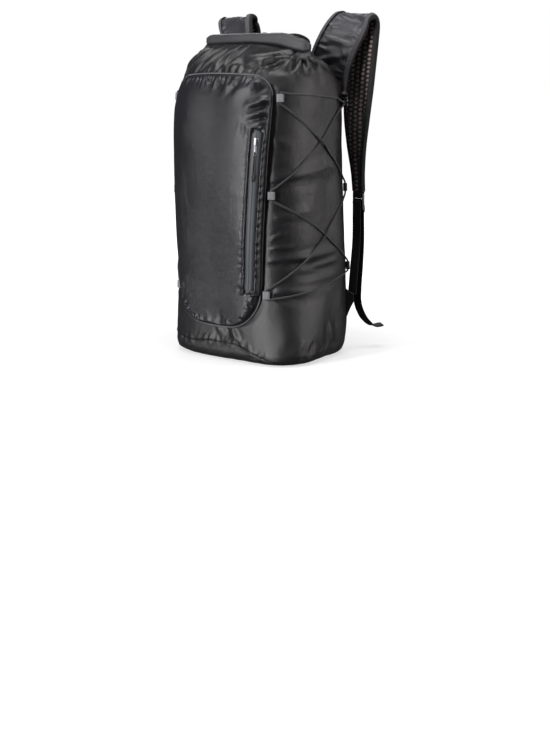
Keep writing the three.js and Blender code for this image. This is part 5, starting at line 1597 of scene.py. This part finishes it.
def maths(tree, operation, first, second=None, third=None):
    """A Math node on sockets or numbers; returns its output."""
    node = tree.nodes.new("ShaderNodeMath")
    node.operation = operation
    for socket, value in zip(node.inputs, (first, second, third)):
        if value is None:
            continue
        if isinstance(value, (int, float)):
            socket.default_value = value
        else:
            tree.links.new(value, socket)
    return node.outputs[0]


def ramp(tree, value, low, high, start=0, end=1):
    """A value that goes evenly from start to end while another goes from low to high."""
    node = tree.nodes.new("ShaderNodeMapRange")
    for label, bound in (("From Min", low), ("From Max", high), ("To Min", start), ("To Max", end)):
        node.inputs[label].default_value = bound
    tree.links.new(value, node.inputs["Value"])
    return node.outputs[0]


def split_axes(tree, vector):
    """The outputs X, Y and Z of a vector."""
    node = tree.nodes.new("ShaderNodeSeparateXYZ")
    tree.links.new(vector, node.inputs[0])
    return node.outputs


def relief_of(tree):
    """How far each point stands out of its cloth, as the mesh keeps it."""
    node = tree.nodes.new("ShaderNodeAttribute")
    node.attribute_name = "Relief"
    return node.outputs["Fac"]


def weave_group():
    """Crossing threads: their height, and a mask of the gaps between them."""
    group, given, result = shader_group(
        "Weave",
        (("NodeSocketVector", "Vector", None), ("NodeSocketFloat", "Pitch", 0.0007)),
        (("NodeSocketFloat", "Height"), ("NodeSocketFloat", "Gaps")),
    )
    axes = split_axes(group, given.outputs["Vector"])
    rate = maths(group, "DIVIDE", math.pi, given.outputs["Pitch"])
    warp = maths(group, "SINE", maths(group, "MULTIPLY", axes["X"], rate))
    weft = maths(group, "SINE", maths(group, "MULTIPLY", axes["Y"], rate))
    both = maths(group, "MULTIPLY", warp, weft)
    warp_high = maths(group, "MULTIPLY", warp, warp)
    weft_high = maths(group, "MULTIPLY", weft, weft)
    over = maths(group, "ADD", warp_high, weft_high)
    height = maths(group, "MULTIPLY_ADD", both, 0.3, maths(group, "MULTIPLY", over, 0.35))
    group.links.new(height, result.inputs["Height"])
    group.links.new(maths(group, "SUBTRACT", 1, maths(group, "MULTIPLY", over, 0.5)),
                    result.inputs["Gaps"])
    return group


def wear_group():
    """Handling marks: a slow change of shade, fine lint, and crinkles of thin cloth."""
    group, given, result = shader_group(
        "Cloth wear",
        (("NodeSocketVector", "Vector", None), ("NodeSocketFloat", "Scale", 1)),
        (("NodeSocketFloat", "Shade"), ("NodeSocketFloat", "Lint"),
         ("NodeSocketFloat", "Crinkle")),
    )
    for label, scale, detail, rough, low, high in (
        ("Shade", 14, 3, 0.5, 0.35, 0.65),
        ("Lint", 900, 2, 0.6, 0.62, 0.8),
        ("Crinkle", 70, 2.5, 0.55, 0, 1),
    ):
        texture = group.nodes.new("ShaderNodeTexNoise")
        texture.inputs["Detail"].default_value = detail
        texture.inputs["Roughness"].default_value = rough
        group.links.new(given.outputs["Vector"], texture.inputs["Vector"])
        group.links.new(maths(group, "MULTIPLY", given.outputs["Scale"], scale), texture.inputs["Scale"])
        group.links.new(ramp(group, texture.outputs["Fac"], low, high), result.inputs[label])
    return group


def ribbing_group():
    """Woven tape: cross ribs in chevrons between plain edges."""
    group, given, result = shader_group(
        "Ribbing",
        (("NodeSocketVector", "Vector", None), ("NodeSocketFloat", "Pitch", 0.0016),
         ("NodeSocketFloat", "Lean", 0.6)),
        (("NodeSocketFloat", "Height"), ("NodeSocketFloat", "Edge")),
    )
    axes = split_axes(group, given.outputs["Vector"])
    wide = maths(group, "ABSOLUTE", axes["X"])
    slant = maths(group, "MULTIPLY", maths(group, "PINGPONG", wide, 0.0022), given.outputs["Lean"])
    rate = maths(group, "DIVIDE", 2 * math.pi, given.outputs["Pitch"])
    rib = maths(group, "SINE", maths(group, "MULTIPLY", maths(group, "ADD", axes["Y"], slant), rate))
    thread = maths(group, "SINE", maths(group, "MULTIPLY", axes["X"], rate))
    height = maths(group, "MULTIPLY_ADD", thread, 0.25, maths(group, "MULTIPLY", rib, 0.5))
    group.links.new(height, result.inputs["Height"])
    group.links.new(ramp(group, wide, 0.0075, 0.0105), result.inputs["Edge"])
    return group


def grain_group():
    """Fine grain of moulded or cast parts, with a mask of small scuffs."""
    group, given, result = shader_group(
        "Grain",
        (("NodeSocketVector", "Vector", None), ("NodeSocketFloat", "Scale", 1800)),
        (("NodeSocketFloat", "Height"), ("NodeSocketFloat", "Scuffs")),
    )
    fine = group.nodes.new("ShaderNodeTexNoise")
    fine.inputs["Detail"].default_value = 3
    group.links.new(given.outputs["Vector"], fine.inputs["Vector"])
    group.links.new(given.outputs["Scale"], fine.inputs["Scale"])
    group.links.new(fine.outputs["Fac"], result.inputs["Height"])
    wide = group.nodes.new("ShaderNodeTexNoise")
    wide.inputs["Scale"].default_value = 160
    wide.inputs["Detail"].default_value = 6
    group.links.new(given.outputs["Vector"], wide.inputs["Vector"])
    group.links.new(ramp(group, wide.outputs["Fac"], 0.55, 0.75), result.inputs["Scuffs"])
    return group


def shared(name):
    """The shared node group of that name, made once."""
    makers = {"Weave": weave_group, "Cloth wear": wear_group, "Ribbing": ribbing_group,
              "Grain": grain_group}
    return bpy.data.node_groups.get(name) or makers[name]()


def place_group(tree, name, vector, **values):
    """A shared group in a material, with its own values."""
    node = tree.nodes.new("ShaderNodeGroup")
    node.node_tree = shared(name)
    tree.links.new(vector, node.inputs["Vector"])
    for label, value in values.items():
        node.inputs[label].default_value = value
    return node


def new_finish(name, roughness, metallic=0.0, specular=0.5, sheen=0.0):
    """A material with its shader's constants set; returns it, its tree, shader and coordinates."""
    finish = bpy.data.materials.new(name)
    finish.use_nodes = True
    tree = finish.node_tree
    shader = tree.nodes["Principled BSDF"]
    for label, value in (
        ("Roughness", roughness), ("Metallic", metallic), ("Specular IOR Level", specular),
        ("Sheen Weight", sheen), ("Sheen Roughness", 0.45),
    ):
        shader.inputs[label].default_value = value
    place = tree.nodes.new("ShaderNodeTexCoord")
    weave = tree.nodes.new("ShaderNodeUVMap")
    weave.uv_map = "Weave"
    return finish, tree, shader, place.outputs["Object"], weave.outputs["UV"]


def blend_colours(tree, mask, first, second):
    """A colour mixed between two by a mask."""
    mix = tree.nodes.new("ShaderNodeMix")
    mix.data_type = "RGBA"
    tree.links.new(mask, mix.inputs["Factor"])
    for socket, colour in ((mix.inputs[6], first), (mix.inputs[7], second)):
        if isinstance(colour, bpy.types.NodeSocket):
            tree.links.new(colour, socket)
        else:
            socket.default_value = (*colour, 1)
    return mix.outputs[2]


def paint(tree, shader, mask, first, second):
    """Gives the shader a colour mixed between two by a mask."""
    tree.links.new(blend_colours(tree, mask, first, second), shader.inputs["Base Color"])


def uneven(tree, mask, colour, dark, light):
    """A colour that a mask takes from darker to lighter."""
    return blend_colours(tree, mask, tint(colour, dark), tint(colour, light))


def tint(colour, factor):
    """A colour made lighter or darker."""
    return tuple(part * factor for part in colour)


def raise_surface(tree, shader, height, distance, strength=1.0):
    """Feeds a height to the shader's normal through a Bump node."""
    bump = tree.nodes.new("ShaderNodeBump")
    bump.inputs["Strength"].default_value = strength
    bump.inputs["Distance"].default_value = distance
    tree.links.new(height, bump.inputs["Height"])
    tree.links.new(bump.outputs[0], shader.inputs["Normal"])


def spread_roughness(tree, shader, mask, low, high):
    """Roughness that a mask takes from low to high."""
    scale = maths(tree, "MULTIPLY_ADD", mask, high - low, low)
    tree.links.new(scale, shader.inputs["Roughness"])


def cloth_finish(name, colour, pitch, low, high):
    """Thin plain-woven nylon, with painted shade in its crease valleys and a lighter colour on its crease
    ridges.
    """
    finish, tree, shader, place, weave = new_finish(name, low, specular=0.62)
    threads = place_group(tree, "Weave", weave, Pitch=pitch)
    marks = place_group(tree, "Cloth wear", place, Scale=1)
    worn = uneven(tree, marks.outputs["Shade"], colour, 0.86, 1.14)
    linted = maths(tree, "MULTIPLY", marks.outputs["Lint"], 0.06)
    dusty = blend_colours(tree, linted, worn, tint(colour, 2.4))
    relief = relief_of(tree)
    # Painted shade: where the mesh's relief sinks into a crease valley, the colour darkens towards 0.3 of
    # the cloth's
    valley_shade_mask = ramp(tree, relief, -0.6, -5)
    # The colour turns lighter on crease ridges, up to 1.7 times the cloth's, where the mesh's relief
    # rises
    ridge_lightening_mask = ramp(tree, relief, 0.8, 4, end=0.6)
    painted_valley_shade = blend_colours(tree, valley_shade_mask, dusty, tint(colour, 0.3))
    handled = blend_colours(tree, ridge_lightening_mask, painted_valley_shade, tint(colour, 1.7))
    gaps = maths(tree, "MULTIPLY", threads.outputs["Gaps"], 0.45)
    paint(tree, shader, gaps, handled, tint(colour, 0.35))
    spread_roughness(tree, shader, marks.outputs["Shade"], low, high)
    folds = maths(tree, "MULTIPLY", marks.outputs["Crinkle"], 0.4)
    height = maths(tree, "MULTIPLY_ADD", threads.outputs["Height"], 0.09, folds)
    raise_surface(tree, shader, height, 0.0014, 1)
    return finish


def webbing_finish(name, colour, pitch, lean, roughness=0.55, sheen=0.3):
    """Ribbed narrow woven tape."""
    finish, tree, shader, place, weave = new_finish(name, roughness, sheen=sheen, specular=0.4)
    ribs = place_group(tree, "Ribbing", weave, Pitch=pitch, Lean=lean)
    marks = place_group(tree, "Cloth wear", place, Scale=1.6)
    worn = uneven(tree, marks.outputs["Shade"], colour, 0.85, 1.2)
    raised = maths(tree, "MULTIPLY_ADD", ribs.outputs["Height"], 0.35, 0.3)
    ribbed = blend_colours(tree, raised, tint(colour, 0.5), worn)
    edged = maths(tree, "MULTIPLY", ribs.outputs["Edge"], 0.35)
    paint(tree, shader, edged, ribbed, tint(colour, 1.7))
    height = maths(tree, "MULTIPLY_ADD", marks.outputs["Crinkle"], 0.12, ribs.outputs["Height"])
    raise_surface(tree, shader, height, 0.0004, 0.8)
    return finish


def binding_finish(name, colour, under):
    """Folded binding tape, grey where it shows on the outer cloth and black under the strap."""
    finish = webbing_finish(name, colour, 0.0016, 0, roughness=0.7, sheen=0.1)
    tree = finish.node_tree
    shader = tree.nodes["Principled BSDF"]
    mask = maths(tree, "GREATER_THAN", relief_of(tree), 2)
    plain = shader.inputs["Base Color"].links[0].from_socket
    paint(tree, shader, mask, plain, under)
    return finish


def cord_finish(name, colour, sleeve):
    """Braided cord: its two bundles cross as fine diamonds."""
    finish, tree, shader, place, weave = new_finish(name, 0.6, sheen=0.4, specular=0.4)
    threads = place_group(tree, "Weave", weave, Pitch=0.0011)
    marks = place_group(tree, "Cloth wear", place, Scale=2)
    plain = uneven(tree, marks.outputs["Shade"], colour, 0.8, 1.15)
    crossed = maths(tree, "MULTIPLY", threads.outputs["Gaps"], 0.7)
    paint(tree, shader, crossed, plain, sleeve)
    raise_surface(tree, shader, threads.outputs["Height"], 0.0003, 0.7)
    return finish


def spacer_finish(name, colour, foam):
    """Black knitted spacer mesh with staggered holes that show the pale foam."""
    finish, tree, shader, place, weave = new_finish(name, 0.85, sheen=0.3, specular=0.2)
    axes = split_axes(tree, weave)
    holes = []
    for shift in (0, 0.5):
        away = []
        for axis, pitch, reach in (("X", MESH_ACROSS, MESH_ACROSS * MESH_SQUASH),
                                   ("Y", MESH_ALONG, MESH_ALONG)):
            turned = maths(tree, "MULTIPLY_ADD", axes[axis], 1000 / pitch, shift + 0.5)
            part = maths(tree, "SUBTRACT", maths(tree, "FRACT", turned), 0.5)
            away.append(maths(tree, "POWER", maths(tree, "MULTIPLY", part, reach), 2))
        holes.append(maths(tree, "ADD", *away))
    near = maths(tree, "SQRT", maths(tree, "MINIMUM", *holes))
    hole = ramp(tree, near, 2.6, 1.8)
    threads = place_group(tree, "Weave", weave, Pitch=0.0012)
    marks = place_group(tree, "Cloth wear", place, Scale=1.5)
    knit = uneven(tree, threads.outputs["Gaps"], colour, 1.5, 0.3)
    shown = uneven(tree, marks.outputs["Shade"], foam, 0.75, 1.15)
    paint(tree, shader, hole, knit, shown)
    raise_surface(tree, shader, threads.outputs["Height"], 0.0005, 1)
    return finish


def plastic_finish(name, colour):
    """Moulded acetal with a fine spark-eroded grain."""
    finish, tree, shader, place, _ = new_finish(name, 0.38, specular=0.5)
    grain = place_group(tree, "Grain", place, Scale=2200)
    scuffed = maths(tree, "MULTIPLY", grain.outputs["Scuffs"], 0.3)
    paint(tree, shader, scuffed, colour, tint(colour, 2.2))
    spread_roughness(tree, shader, grain.outputs["Scuffs"], 0.34, 0.55)
    raise_surface(tree, shader, grain.outputs["Height"], 0.00012, 0.5)
    return finish


def metal_finish(name, colour):
    """Bright plated zinc, scuffed where it is handled."""
    finish, tree, shader, place, _ = new_finish(name, 0.32, metallic=1)
    grain = place_group(tree, "Grain", place, Scale=1400)
    scuffed = maths(tree, "MULTIPLY", grain.outputs["Scuffs"], 0.5)
    paint(tree, shader, scuffed, colour, tint(colour, 0.6))
    spread_roughness(tree, shader, grain.outputs["Scuffs"], 0.3, 0.5)
    raise_surface(tree, shader, grain.outputs["Height"], 0.0001, 0.4)
    return finish


def tape_finish(name, colour, groove):
    """Zip tape: smooth lips over the teeth, with painted shade along its edges and faintly down its
    middle groove.
    """
    finish, tree, shader, place, weave = new_finish(name, 0.5, sheen=0.3)
    axes = split_axes(tree, weave)
    wide = maths(tree, "ABSOLUTE", axes["X"])
    # Painted shade: the groove colour darkens the tape's edges, where it dips to the pocket cloth, and at
    # a quarter strength its middle groove
    edge = ramp(tree, wide, 0.0046, 0.0052)
    middle = ramp(tree, wide, 0.0009, 0.0003)
    dark = maths(tree, "MAXIMUM", edge, maths(tree, "MULTIPLY", middle, 0.25))
    teeth = maths(tree, "SINE", maths(tree, "MULTIPLY", axes["Y"], 2 * math.pi / 0.0015))
    threads = place_group(tree, "Weave", weave, Pitch=0.0008)
    marks = place_group(tree, "Cloth wear", place, Scale=1)
    plain = uneven(tree, marks.outputs["Shade"], colour, 0.85, 1.15)
    paint(tree, shader, dark, plain, groove)
    coil = maths(tree, "MULTIPLY", teeth, maths(tree, "MULTIPLY", middle, 0.6))
    height = maths(tree, "MULTIPLY_ADD", threads.outputs["Height"], 0.3, coil)
    raise_surface(tree, shader, height, 0.0004, 0.8)
    return finish


def finish_of(kind):
    """The material of a kind of surface, made on first use."""
    made = bpy.data.materials.get(kind)
    if made:
        return made
    tone = bpy.context.scene.pack_colours
    makers = {
        "body nylon": (cloth_finish, tone.body, 0.0006, 0.33, 0.4),
        "roll nylon": (cloth_finish, tone.roll, 0.0006, 0.46, 0.54),
        "base nylon": (cloth_finish, tone.body, 0.0006, 0.34, 0.42),
        "pocket nylon": (cloth_finish, tone.pocket, 0.0006, 0.31, 0.36),
        "strap nylon": (cloth_finish, tone.strap, 0.0008, 0.32, 0.42),
        "binding tape": (binding_finish, tone.binding, tone.webbing),
        "piping": (webbing_finish, tone.piping, 0.001, 0),
        "loop tape": (webbing_finish, tone.loop, 0.0014, 0),
        "webbing": (webbing_finish, tone.webbing, 0.0018, 0.9),
        # The zip tape's painted shade colour, for its edges and middle groove
        "zip tape": (tape_finish, tone.zip_tape, tint(tone.webbing, 0.6)),
        "zip metal": (metal_finish, tone.metal),
        "elastic cord": (cord_finish, tone.cord, tint(tone.cord, 0.35)),
        "spacer mesh": (spacer_finish, tone.mesh, tone.foam),
        "buckle acetal": (plastic_finish, tone.buckle),
    }
    make, *values = makers[kind]
    return make(kind, *values)


def colour(label, description, red, green, blue):
    """A colour property."""
    return FloatVectorProperty(
        name=label, description=description, subtype="COLOR", size=3, min=0, max=1,
        default=linear(red, green, blue),
    )


class PackSizes(bpy.types.PropertyGroup):
    """Sizes of the dressed pack that a user would change."""

    crease: FloatProperty(
        name="Creases", description="How deep the creases of the cloth are",
        default=1, min=0, max=1.3, subtype="FACTOR",
    )
    cord_diameter: FloatProperty(
        name="Cord", description="Diameter of the elastic side cords",
        default=3 * MM, min=2 * MM, max=4 * MM, unit="LENGTH", subtype="DISTANCE",
    )


class PackColours(bpy.types.PropertyGroup):
    """Colours of the pack's cloth, tapes and fittings."""

    body: colour("Body", "Nylon of the body and base", 30, 28, 31)
    pocket: colour("Pocket", "Nylon of the front pocket", 30, 30, 35)
    roll: colour("Roll", "Matt tape and cloth of the roll-top", 62, 61, 65)
    strap: colour("Strap", "Nylon of the shoulder straps", 62, 61, 67)
    binding: colour("Binding", "Tape round the straps' edges", 84, 82, 86)
    piping: colour("Piping", "Thin edge of the front pocket", 62, 62, 66)
    loop: colour("Cord loops", "Front loops of the side cords", 165, 163, 167)
    webbing: colour("Webbing", "Webbing of the straps and closure", 28, 28, 30)
    zip_tape: colour("Zip tape", "Tape of the pocket's zip", 58, 63, 68)
    metal: colour("Zip metal", "Slider and puller of the zip", 165, 165, 168)
    cord: colour("Cord", "Elastic cord of the sides", 60, 60, 64)
    mesh: colour("Mesh", "Spacer mesh under the straps", 22, 22, 24)
    foam: colour("Foam", "Foam that shows in the mesh's holes", 172, 150, 146)
    buckle: colour("Buckles", "Buckles and cord locks", 24, 24, 26)


# The camera: place in metres, angles in degrees, lens in millimetres
CAMERA_PLACE = (1.414, -1.685, 0.45)
CAMERA_YAW = -39.46
CAMERA_PITCH = -9.32
CAMERA_LENS = 68.2
CAMERA_SHIFT = -0.1

# The lights: place, aim and size in metres, power in watts, colour. The strip reaches below the
# floor, so that the foot of the front mirrors it too
LAMPS = (
    ("Strip", (-0.34, -2.1, 0.36), (0, 0, 0.26), (0.16, 2.3), 56, (1, 1, 1)),
    ("Overhead", (0.1, -0.2, 2.1), (0, 0, 0.2), (1.2, 1.2), 24, (1, 1, 1)),
    ("Side", (2.3, 1.1, 0.7), (0, 0, 0.24), (0.9, 1.5), 30, (1, 0.97, 0.95)),
    ("Rim", (-1.6, 1.6, 1.2), (0, 0, 0.3), (0.8, 1.2), 12, (1, 1, 1)),
)


class DressStage(bpy.types.Operator):
    """Sets up the camera, the floor and the studio lights"""

    bl_idname = "pack.stage"
    bl_label = "Stage"

    def execute(self, context):
        scene = context.scene
        scene.view_settings.view_transform = "Standard"
        lens = bpy.data.cameras.new("Camera")
        lens.lens = CAMERA_LENS
        lens.sensor_width = 36
        lens.shift_y = CAMERA_SHIFT
        camera = bpy.data.objects.new("Camera", lens)
        camera.location = CAMERA_PLACE
        yaw, pitch = math.radians(CAMERA_YAW), math.radians(CAMERA_PITCH)
        ahead = Vector((math.sin(yaw) * math.cos(pitch), math.cos(yaw) * math.cos(pitch),
                        math.sin(pitch)))
        camera.rotation_euler = ahead.to_track_quat("-Z", "Y").to_euler()
        scene.collection.objects.link(camera)
        scene.camera = camera
        self.lay_floor(scene)
        self.light_world(scene)
        for name, place, aim, size, power, shade in LAMPS:
            lamp = bpy.data.lights.new(name, "AREA")
            lamp.shape = "RECTANGLE"
            lamp.size, lamp.size_y = size
            lamp.energy = power
            lamp.color = shade
            thing = bpy.data.objects.new(name, lamp)
            thing.location = place
            thing.rotation_euler = (Vector(aim) - Vector(place)).to_track_quat("-Z", "Y").to_euler()
            scene.collection.objects.link(thing)
        return {"FINISHED"}

    def lay_floor(self, scene):
        """A wide pale floor that glows to the camera as painted light, more faintly near the pack."""
        shape = bmesh.new()
        bmesh.ops.create_circle(shape, cap_ends=True, segments=96, radius=14)
        bmesh.ops.translate(shape, vec=(0, 0, -0.0004), verts=shape.verts)
        mesh = bpy.data.meshes.new("floor")
        shape.to_mesh(mesh)
        shape.free()
        floor = bpy.data.objects.new("floor", mesh)
        floor.visible_glossy = False
        floor.visible_shadow = False
        scene.collection.objects.link(floor)
        finish, tree, shader, place, _ = new_finish("floor paper", 0.9, specular=0.1)
        path = tree.nodes.new("ShaderNodeLightPath")
        grain = place_group(tree, "Grain", place, Scale=300)
        faint = maths(tree, "MULTIPLY", grain.outputs["Scuffs"], 0.05)
        paper = blend_colours(tree, faint, (0.55, 0.55, 0.55), (0.5, 0.5, 0.5))
        tree.links.new(
            blend_colours(tree, path.outputs["Is Camera Ray"], (0.1, 0.1, 0.1), paper),
            shader.inputs["Base Color"])
        # Painted light: to camera rays the floor glows, at 0.6 within 0.2 m of its middle and rising to
        # full white at 0.75 m
        away = tree.nodes.new("ShaderNodeVectorMath")
        away.operation = "LENGTH"
        tree.links.new(place, away.inputs[0])
        glow_by_distance = ramp(tree, away.outputs["Value"], 0.2, 0.75, start=0.6)
        seen = maths(tree, "MULTIPLY", glow_by_distance, path.outputs["Is Camera Ray"])
        tree.links.new(blend_colours(tree, seen, (0, 0, 0), (1, 1, 1)), shader.inputs["Emission Color"])
        shader.inputs["Emission Strength"].default_value = 1
        mesh.materials.append(finish)

    def light_world(self, scene):
        """A white surround that the camera sees, dimmer as a light."""
        world = bpy.data.worlds.new("Surround")
        scene.world = world
        world.use_nodes = True
        tree = world.node_tree
        light = tree.nodes["Background"]
        seen = tree.nodes.new("ShaderNodeBackground")
        for node, strength in ((light, 0.07), (seen, 1)):
            node.inputs["Color"].default_value = (1, 1, 1, 1)
            node.inputs["Strength"].default_value = strength
        path = tree.nodes.new("ShaderNodeLightPath")
        mix = tree.nodes.new("ShaderNodeMixShader")
        tree.links.new(path.outputs["Is Camera Ray"], mix.inputs[0])
        tree.links.new(light.outputs[0], mix.inputs[1])
        tree.links.new(seen.outputs[0], mix.inputs[2])
        tree.links.new(mix.outputs[0], tree.nodes["World Output"].inputs["Surface"])


class DressCords(bpy.types.Operator):
    """Lays the elastic cords over both sides"""

    bl_idname = "pack.side_cords"
    bl_label = "Side cords"

    def execute(self, context):
        for name, side in SIDES:
            piece(f"elastic_{name}", shape_side_cord(side), "cord", "elastic cord", f"side_cord_{name}")
        return {"FINISHED"}


class DressBody(bpy.types.Operator):
    """Makes the creased cloth of the body and the base under it"""

    bl_idname = "pack.body"
    bl_label = "Body and base"

    def execute(self, context):
        piece("body_cloth", shape_body(), "body_nylon", "body nylon", "body_shell")
        piece("base_cloth", shape_base(), "body_nylon", "base nylon", "base_panel")
        return {"FINISHED"}


class DressRoll(bpy.types.Operator):
    """Makes the rolled mouth with its webbing and buckle"""

    bl_idname = "pack.roll_top"
    bl_label = "Roll-top"

    def execute(self, context):
        piece("roll_cloth", shape_roll(), "body_nylon", "roll nylon", "roll_top")
        for name, side in SIDES:
            piece(f"closure_band_{name}", shape_closure_webbing(side), "webbing",
                  "webbing", f"closure_webbing_{name}")
        piece("closure_clip", shape_closure_buckle(), "buckle", "buckle acetal", "closure_buckle")
        return {"FINISHED"}


class DressPocket(bpy.types.Operator):
    """Makes the front pocket's cloth and its piped edge"""

    bl_idname = "pack.front_pocket"
    bl_label = "Front pocket"

    def execute(self, context):
        piece("pocket_cloth", shape_pocket(), "pocket_nylon", "pocket nylon", "front_pocket")
        piece("pocket_edge", shape_piping(), "piping", "piping", "pocket_piping")
        return {"FINISHED"}


class DressZip(bpy.types.Operator):
    """Makes the zip with its slider, puller and knotted cord"""

    bl_idname = "pack.zip"
    bl_label = "Zip"

    def execute(self, context):
        piece("zip_band", shape_zip_tape(), "zip_tape", "zip tape", "pocket_zip")
        piece("slider", shape_slider(), "zip_metal", "zip metal", "zip_slider")
        piece("puller", shape_puller(), "zip_metal", "zip metal", "zip_puller")
        piece("pull_cord", shape_pull_cord(), "cord", "elastic cord", "zip_pull_cord")
        piece("pull_knot", shape_pull_knot(), "cord", "elastic cord")
        for name, way in SIDES:
            piece(f"pull_end_{name}", shape_knot_end(way), "cord", "elastic cord")
        return {"FINISHED"}


class DressLoops(bpy.types.Operator):
    """Makes the folded loops that hold the side cords"""

    bl_idname = "pack.cord_loops"
    bl_label = "Cord loops"

    def execute(self, context):
        for name, side in SIDES:
            for level, height in FRONT_HOLDERS.items():
                label = f"front_loop_{level}_{name}"
                turn = front_holder_turn(height, side)
                piece(f"{label}_tape", shape_cord_loop(label, turn, height, side), "loop_tape",
                      "loop tape", label)
            for level in ("middle", "lower", "upper"):
                label = f"back_loop_{level}_{name}"
                mesh = shape_cord_loop(label, BACK_ANGLE, BACK_HOLDERS[level], side)
                piece(f"{label}_tape", mesh, "webbing", "webbing", label)
        return {"FINISHED"}


class DressLocks(bpy.types.Operator):
    """Makes the sprung cord locks"""

    bl_idname = "pack.cord_locks"
    bl_label = "Cord locks"

    def execute(self, context):
        for name, side in SIDES:
            piece(f"lock_barrel_{name}", shape_lock_barrel(side), "buckle",
                  "buckle acetal", f"cord_lock_barrel_{name}")
            piece(f"lock_plunger_{name}", shape_lock_plunger(side), "buckle",
                  "buckle acetal", f"cord_lock_plunger_{name}", body=f"plunger_{name}")
        return {"FINISHED"}


class DressStraps(bpy.types.Operator):
    """Makes the padded shoulder straps with their mesh and bindings"""

    bl_idname = "pack.shoulder_straps"
    bl_label = "Shoulder straps"

    def execute(self, context):
        for name, side in SIDES:
            pad = piece(f"strap_cloth_{name}", shape_strap_pad(side), "strap_nylon",
                        "strap nylon", f"strap_pad_{name}")
            piece(f"strap_spacer_{name}", shape_strap_mesh(side), "spacer_mesh",
                  "spacer mesh", f"strap_mesh_{name}")
            for label, edge in (("outer", 1), ("inner", -1)):
                piece(f"strap_tape_{label}_{name}", shape_binding(side, edge), "binding",
                      "binding tape", f"strap_binding_{label}_{name}")
        return {"FINISHED"}


class DressStrapEnds(bpy.types.Operator):
    """Makes the ladder buckles, the webbing with its tails and the anchors"""

    bl_idname = "pack.strap_ends"
    bl_label = "Strap ends"

    def execute(self, context):
        for name, side in SIDES:
            piece(f"ladder_{name}", shape_ladder(side), "buckle", "buckle acetal", f"ladder_lock_{name}")
            piece(f"strap_fold_{name}", shape_strap_tab(side), "webbing", "webbing", f"strap_tab_{name}")
            piece(f"strap_band_{name}", shape_strap_webbing(side), "webbing",
                  "webbing", f"strap_webbing_{name}")
            piece(f"anchor_{name}", shape_anchor(side), "body_nylon", "base nylon", f"anchor_tab_{name}")
        return {"FINISHED"}


PIECES = (DressStage, DressCords, DressBody, DressRoll, DressPocket, DressZip, DressLoops,
          DressLocks, DressStraps, DressStrapEnds)


class PackPanel(bpy.types.Panel):
    """Lists the pack's pieces, sizes and colours"""

    bl_idname = "VIEW3D_PT_backpack"
    bl_label = "Backpack"
    bl_space_type = "VIEW_3D"
    bl_region_type = "UI"
    bl_category = "Backpack"

    def draw(self, context):
        for owner in (context.scene.pack_sizes, context.scene.pack_colours):
            for label in owner.__annotations__:
                self.layout.prop(owner, label)
        for step in PIECES:
            self.layout.operator(step.bl_idname)


CLASSES = (PackSizes, PackColours, *PIECES, PackPanel)


def register():
    """Adds the pack's classes and settings."""
    for kind in CLASSES:
        bpy.utils.register_class(kind)
    bpy.types.Scene.pack_sizes = PointerProperty(type=PackSizes)
    bpy.types.Scene.pack_colours = PointerProperty(type=PackColours)


def unregister():
    """Removes the pack's classes and settings."""
    del bpy.types.Scene.pack_colours
    del bpy.types.Scene.pack_sizes
    for kind in reversed(CLASSES):
        bpy.utils.unregister_class(kind)


def main():
    """Makes the whole scene."""
    register()
    bpy.ops.pack.stage()
    bpy.ops.pack.side_cords()
    bpy.ops.pack.body()
    bpy.ops.pack.roll_top()
    bpy.ops.pack.front_pocket()
    bpy.ops.pack.zip()
    bpy.ops.pack.cord_loops()
    bpy.ops.pack.cord_locks()
    bpy.ops.pack.shoulder_straps()
    bpy.ops.pack.strap_ends()


if __name__ == "__main__":
    main()
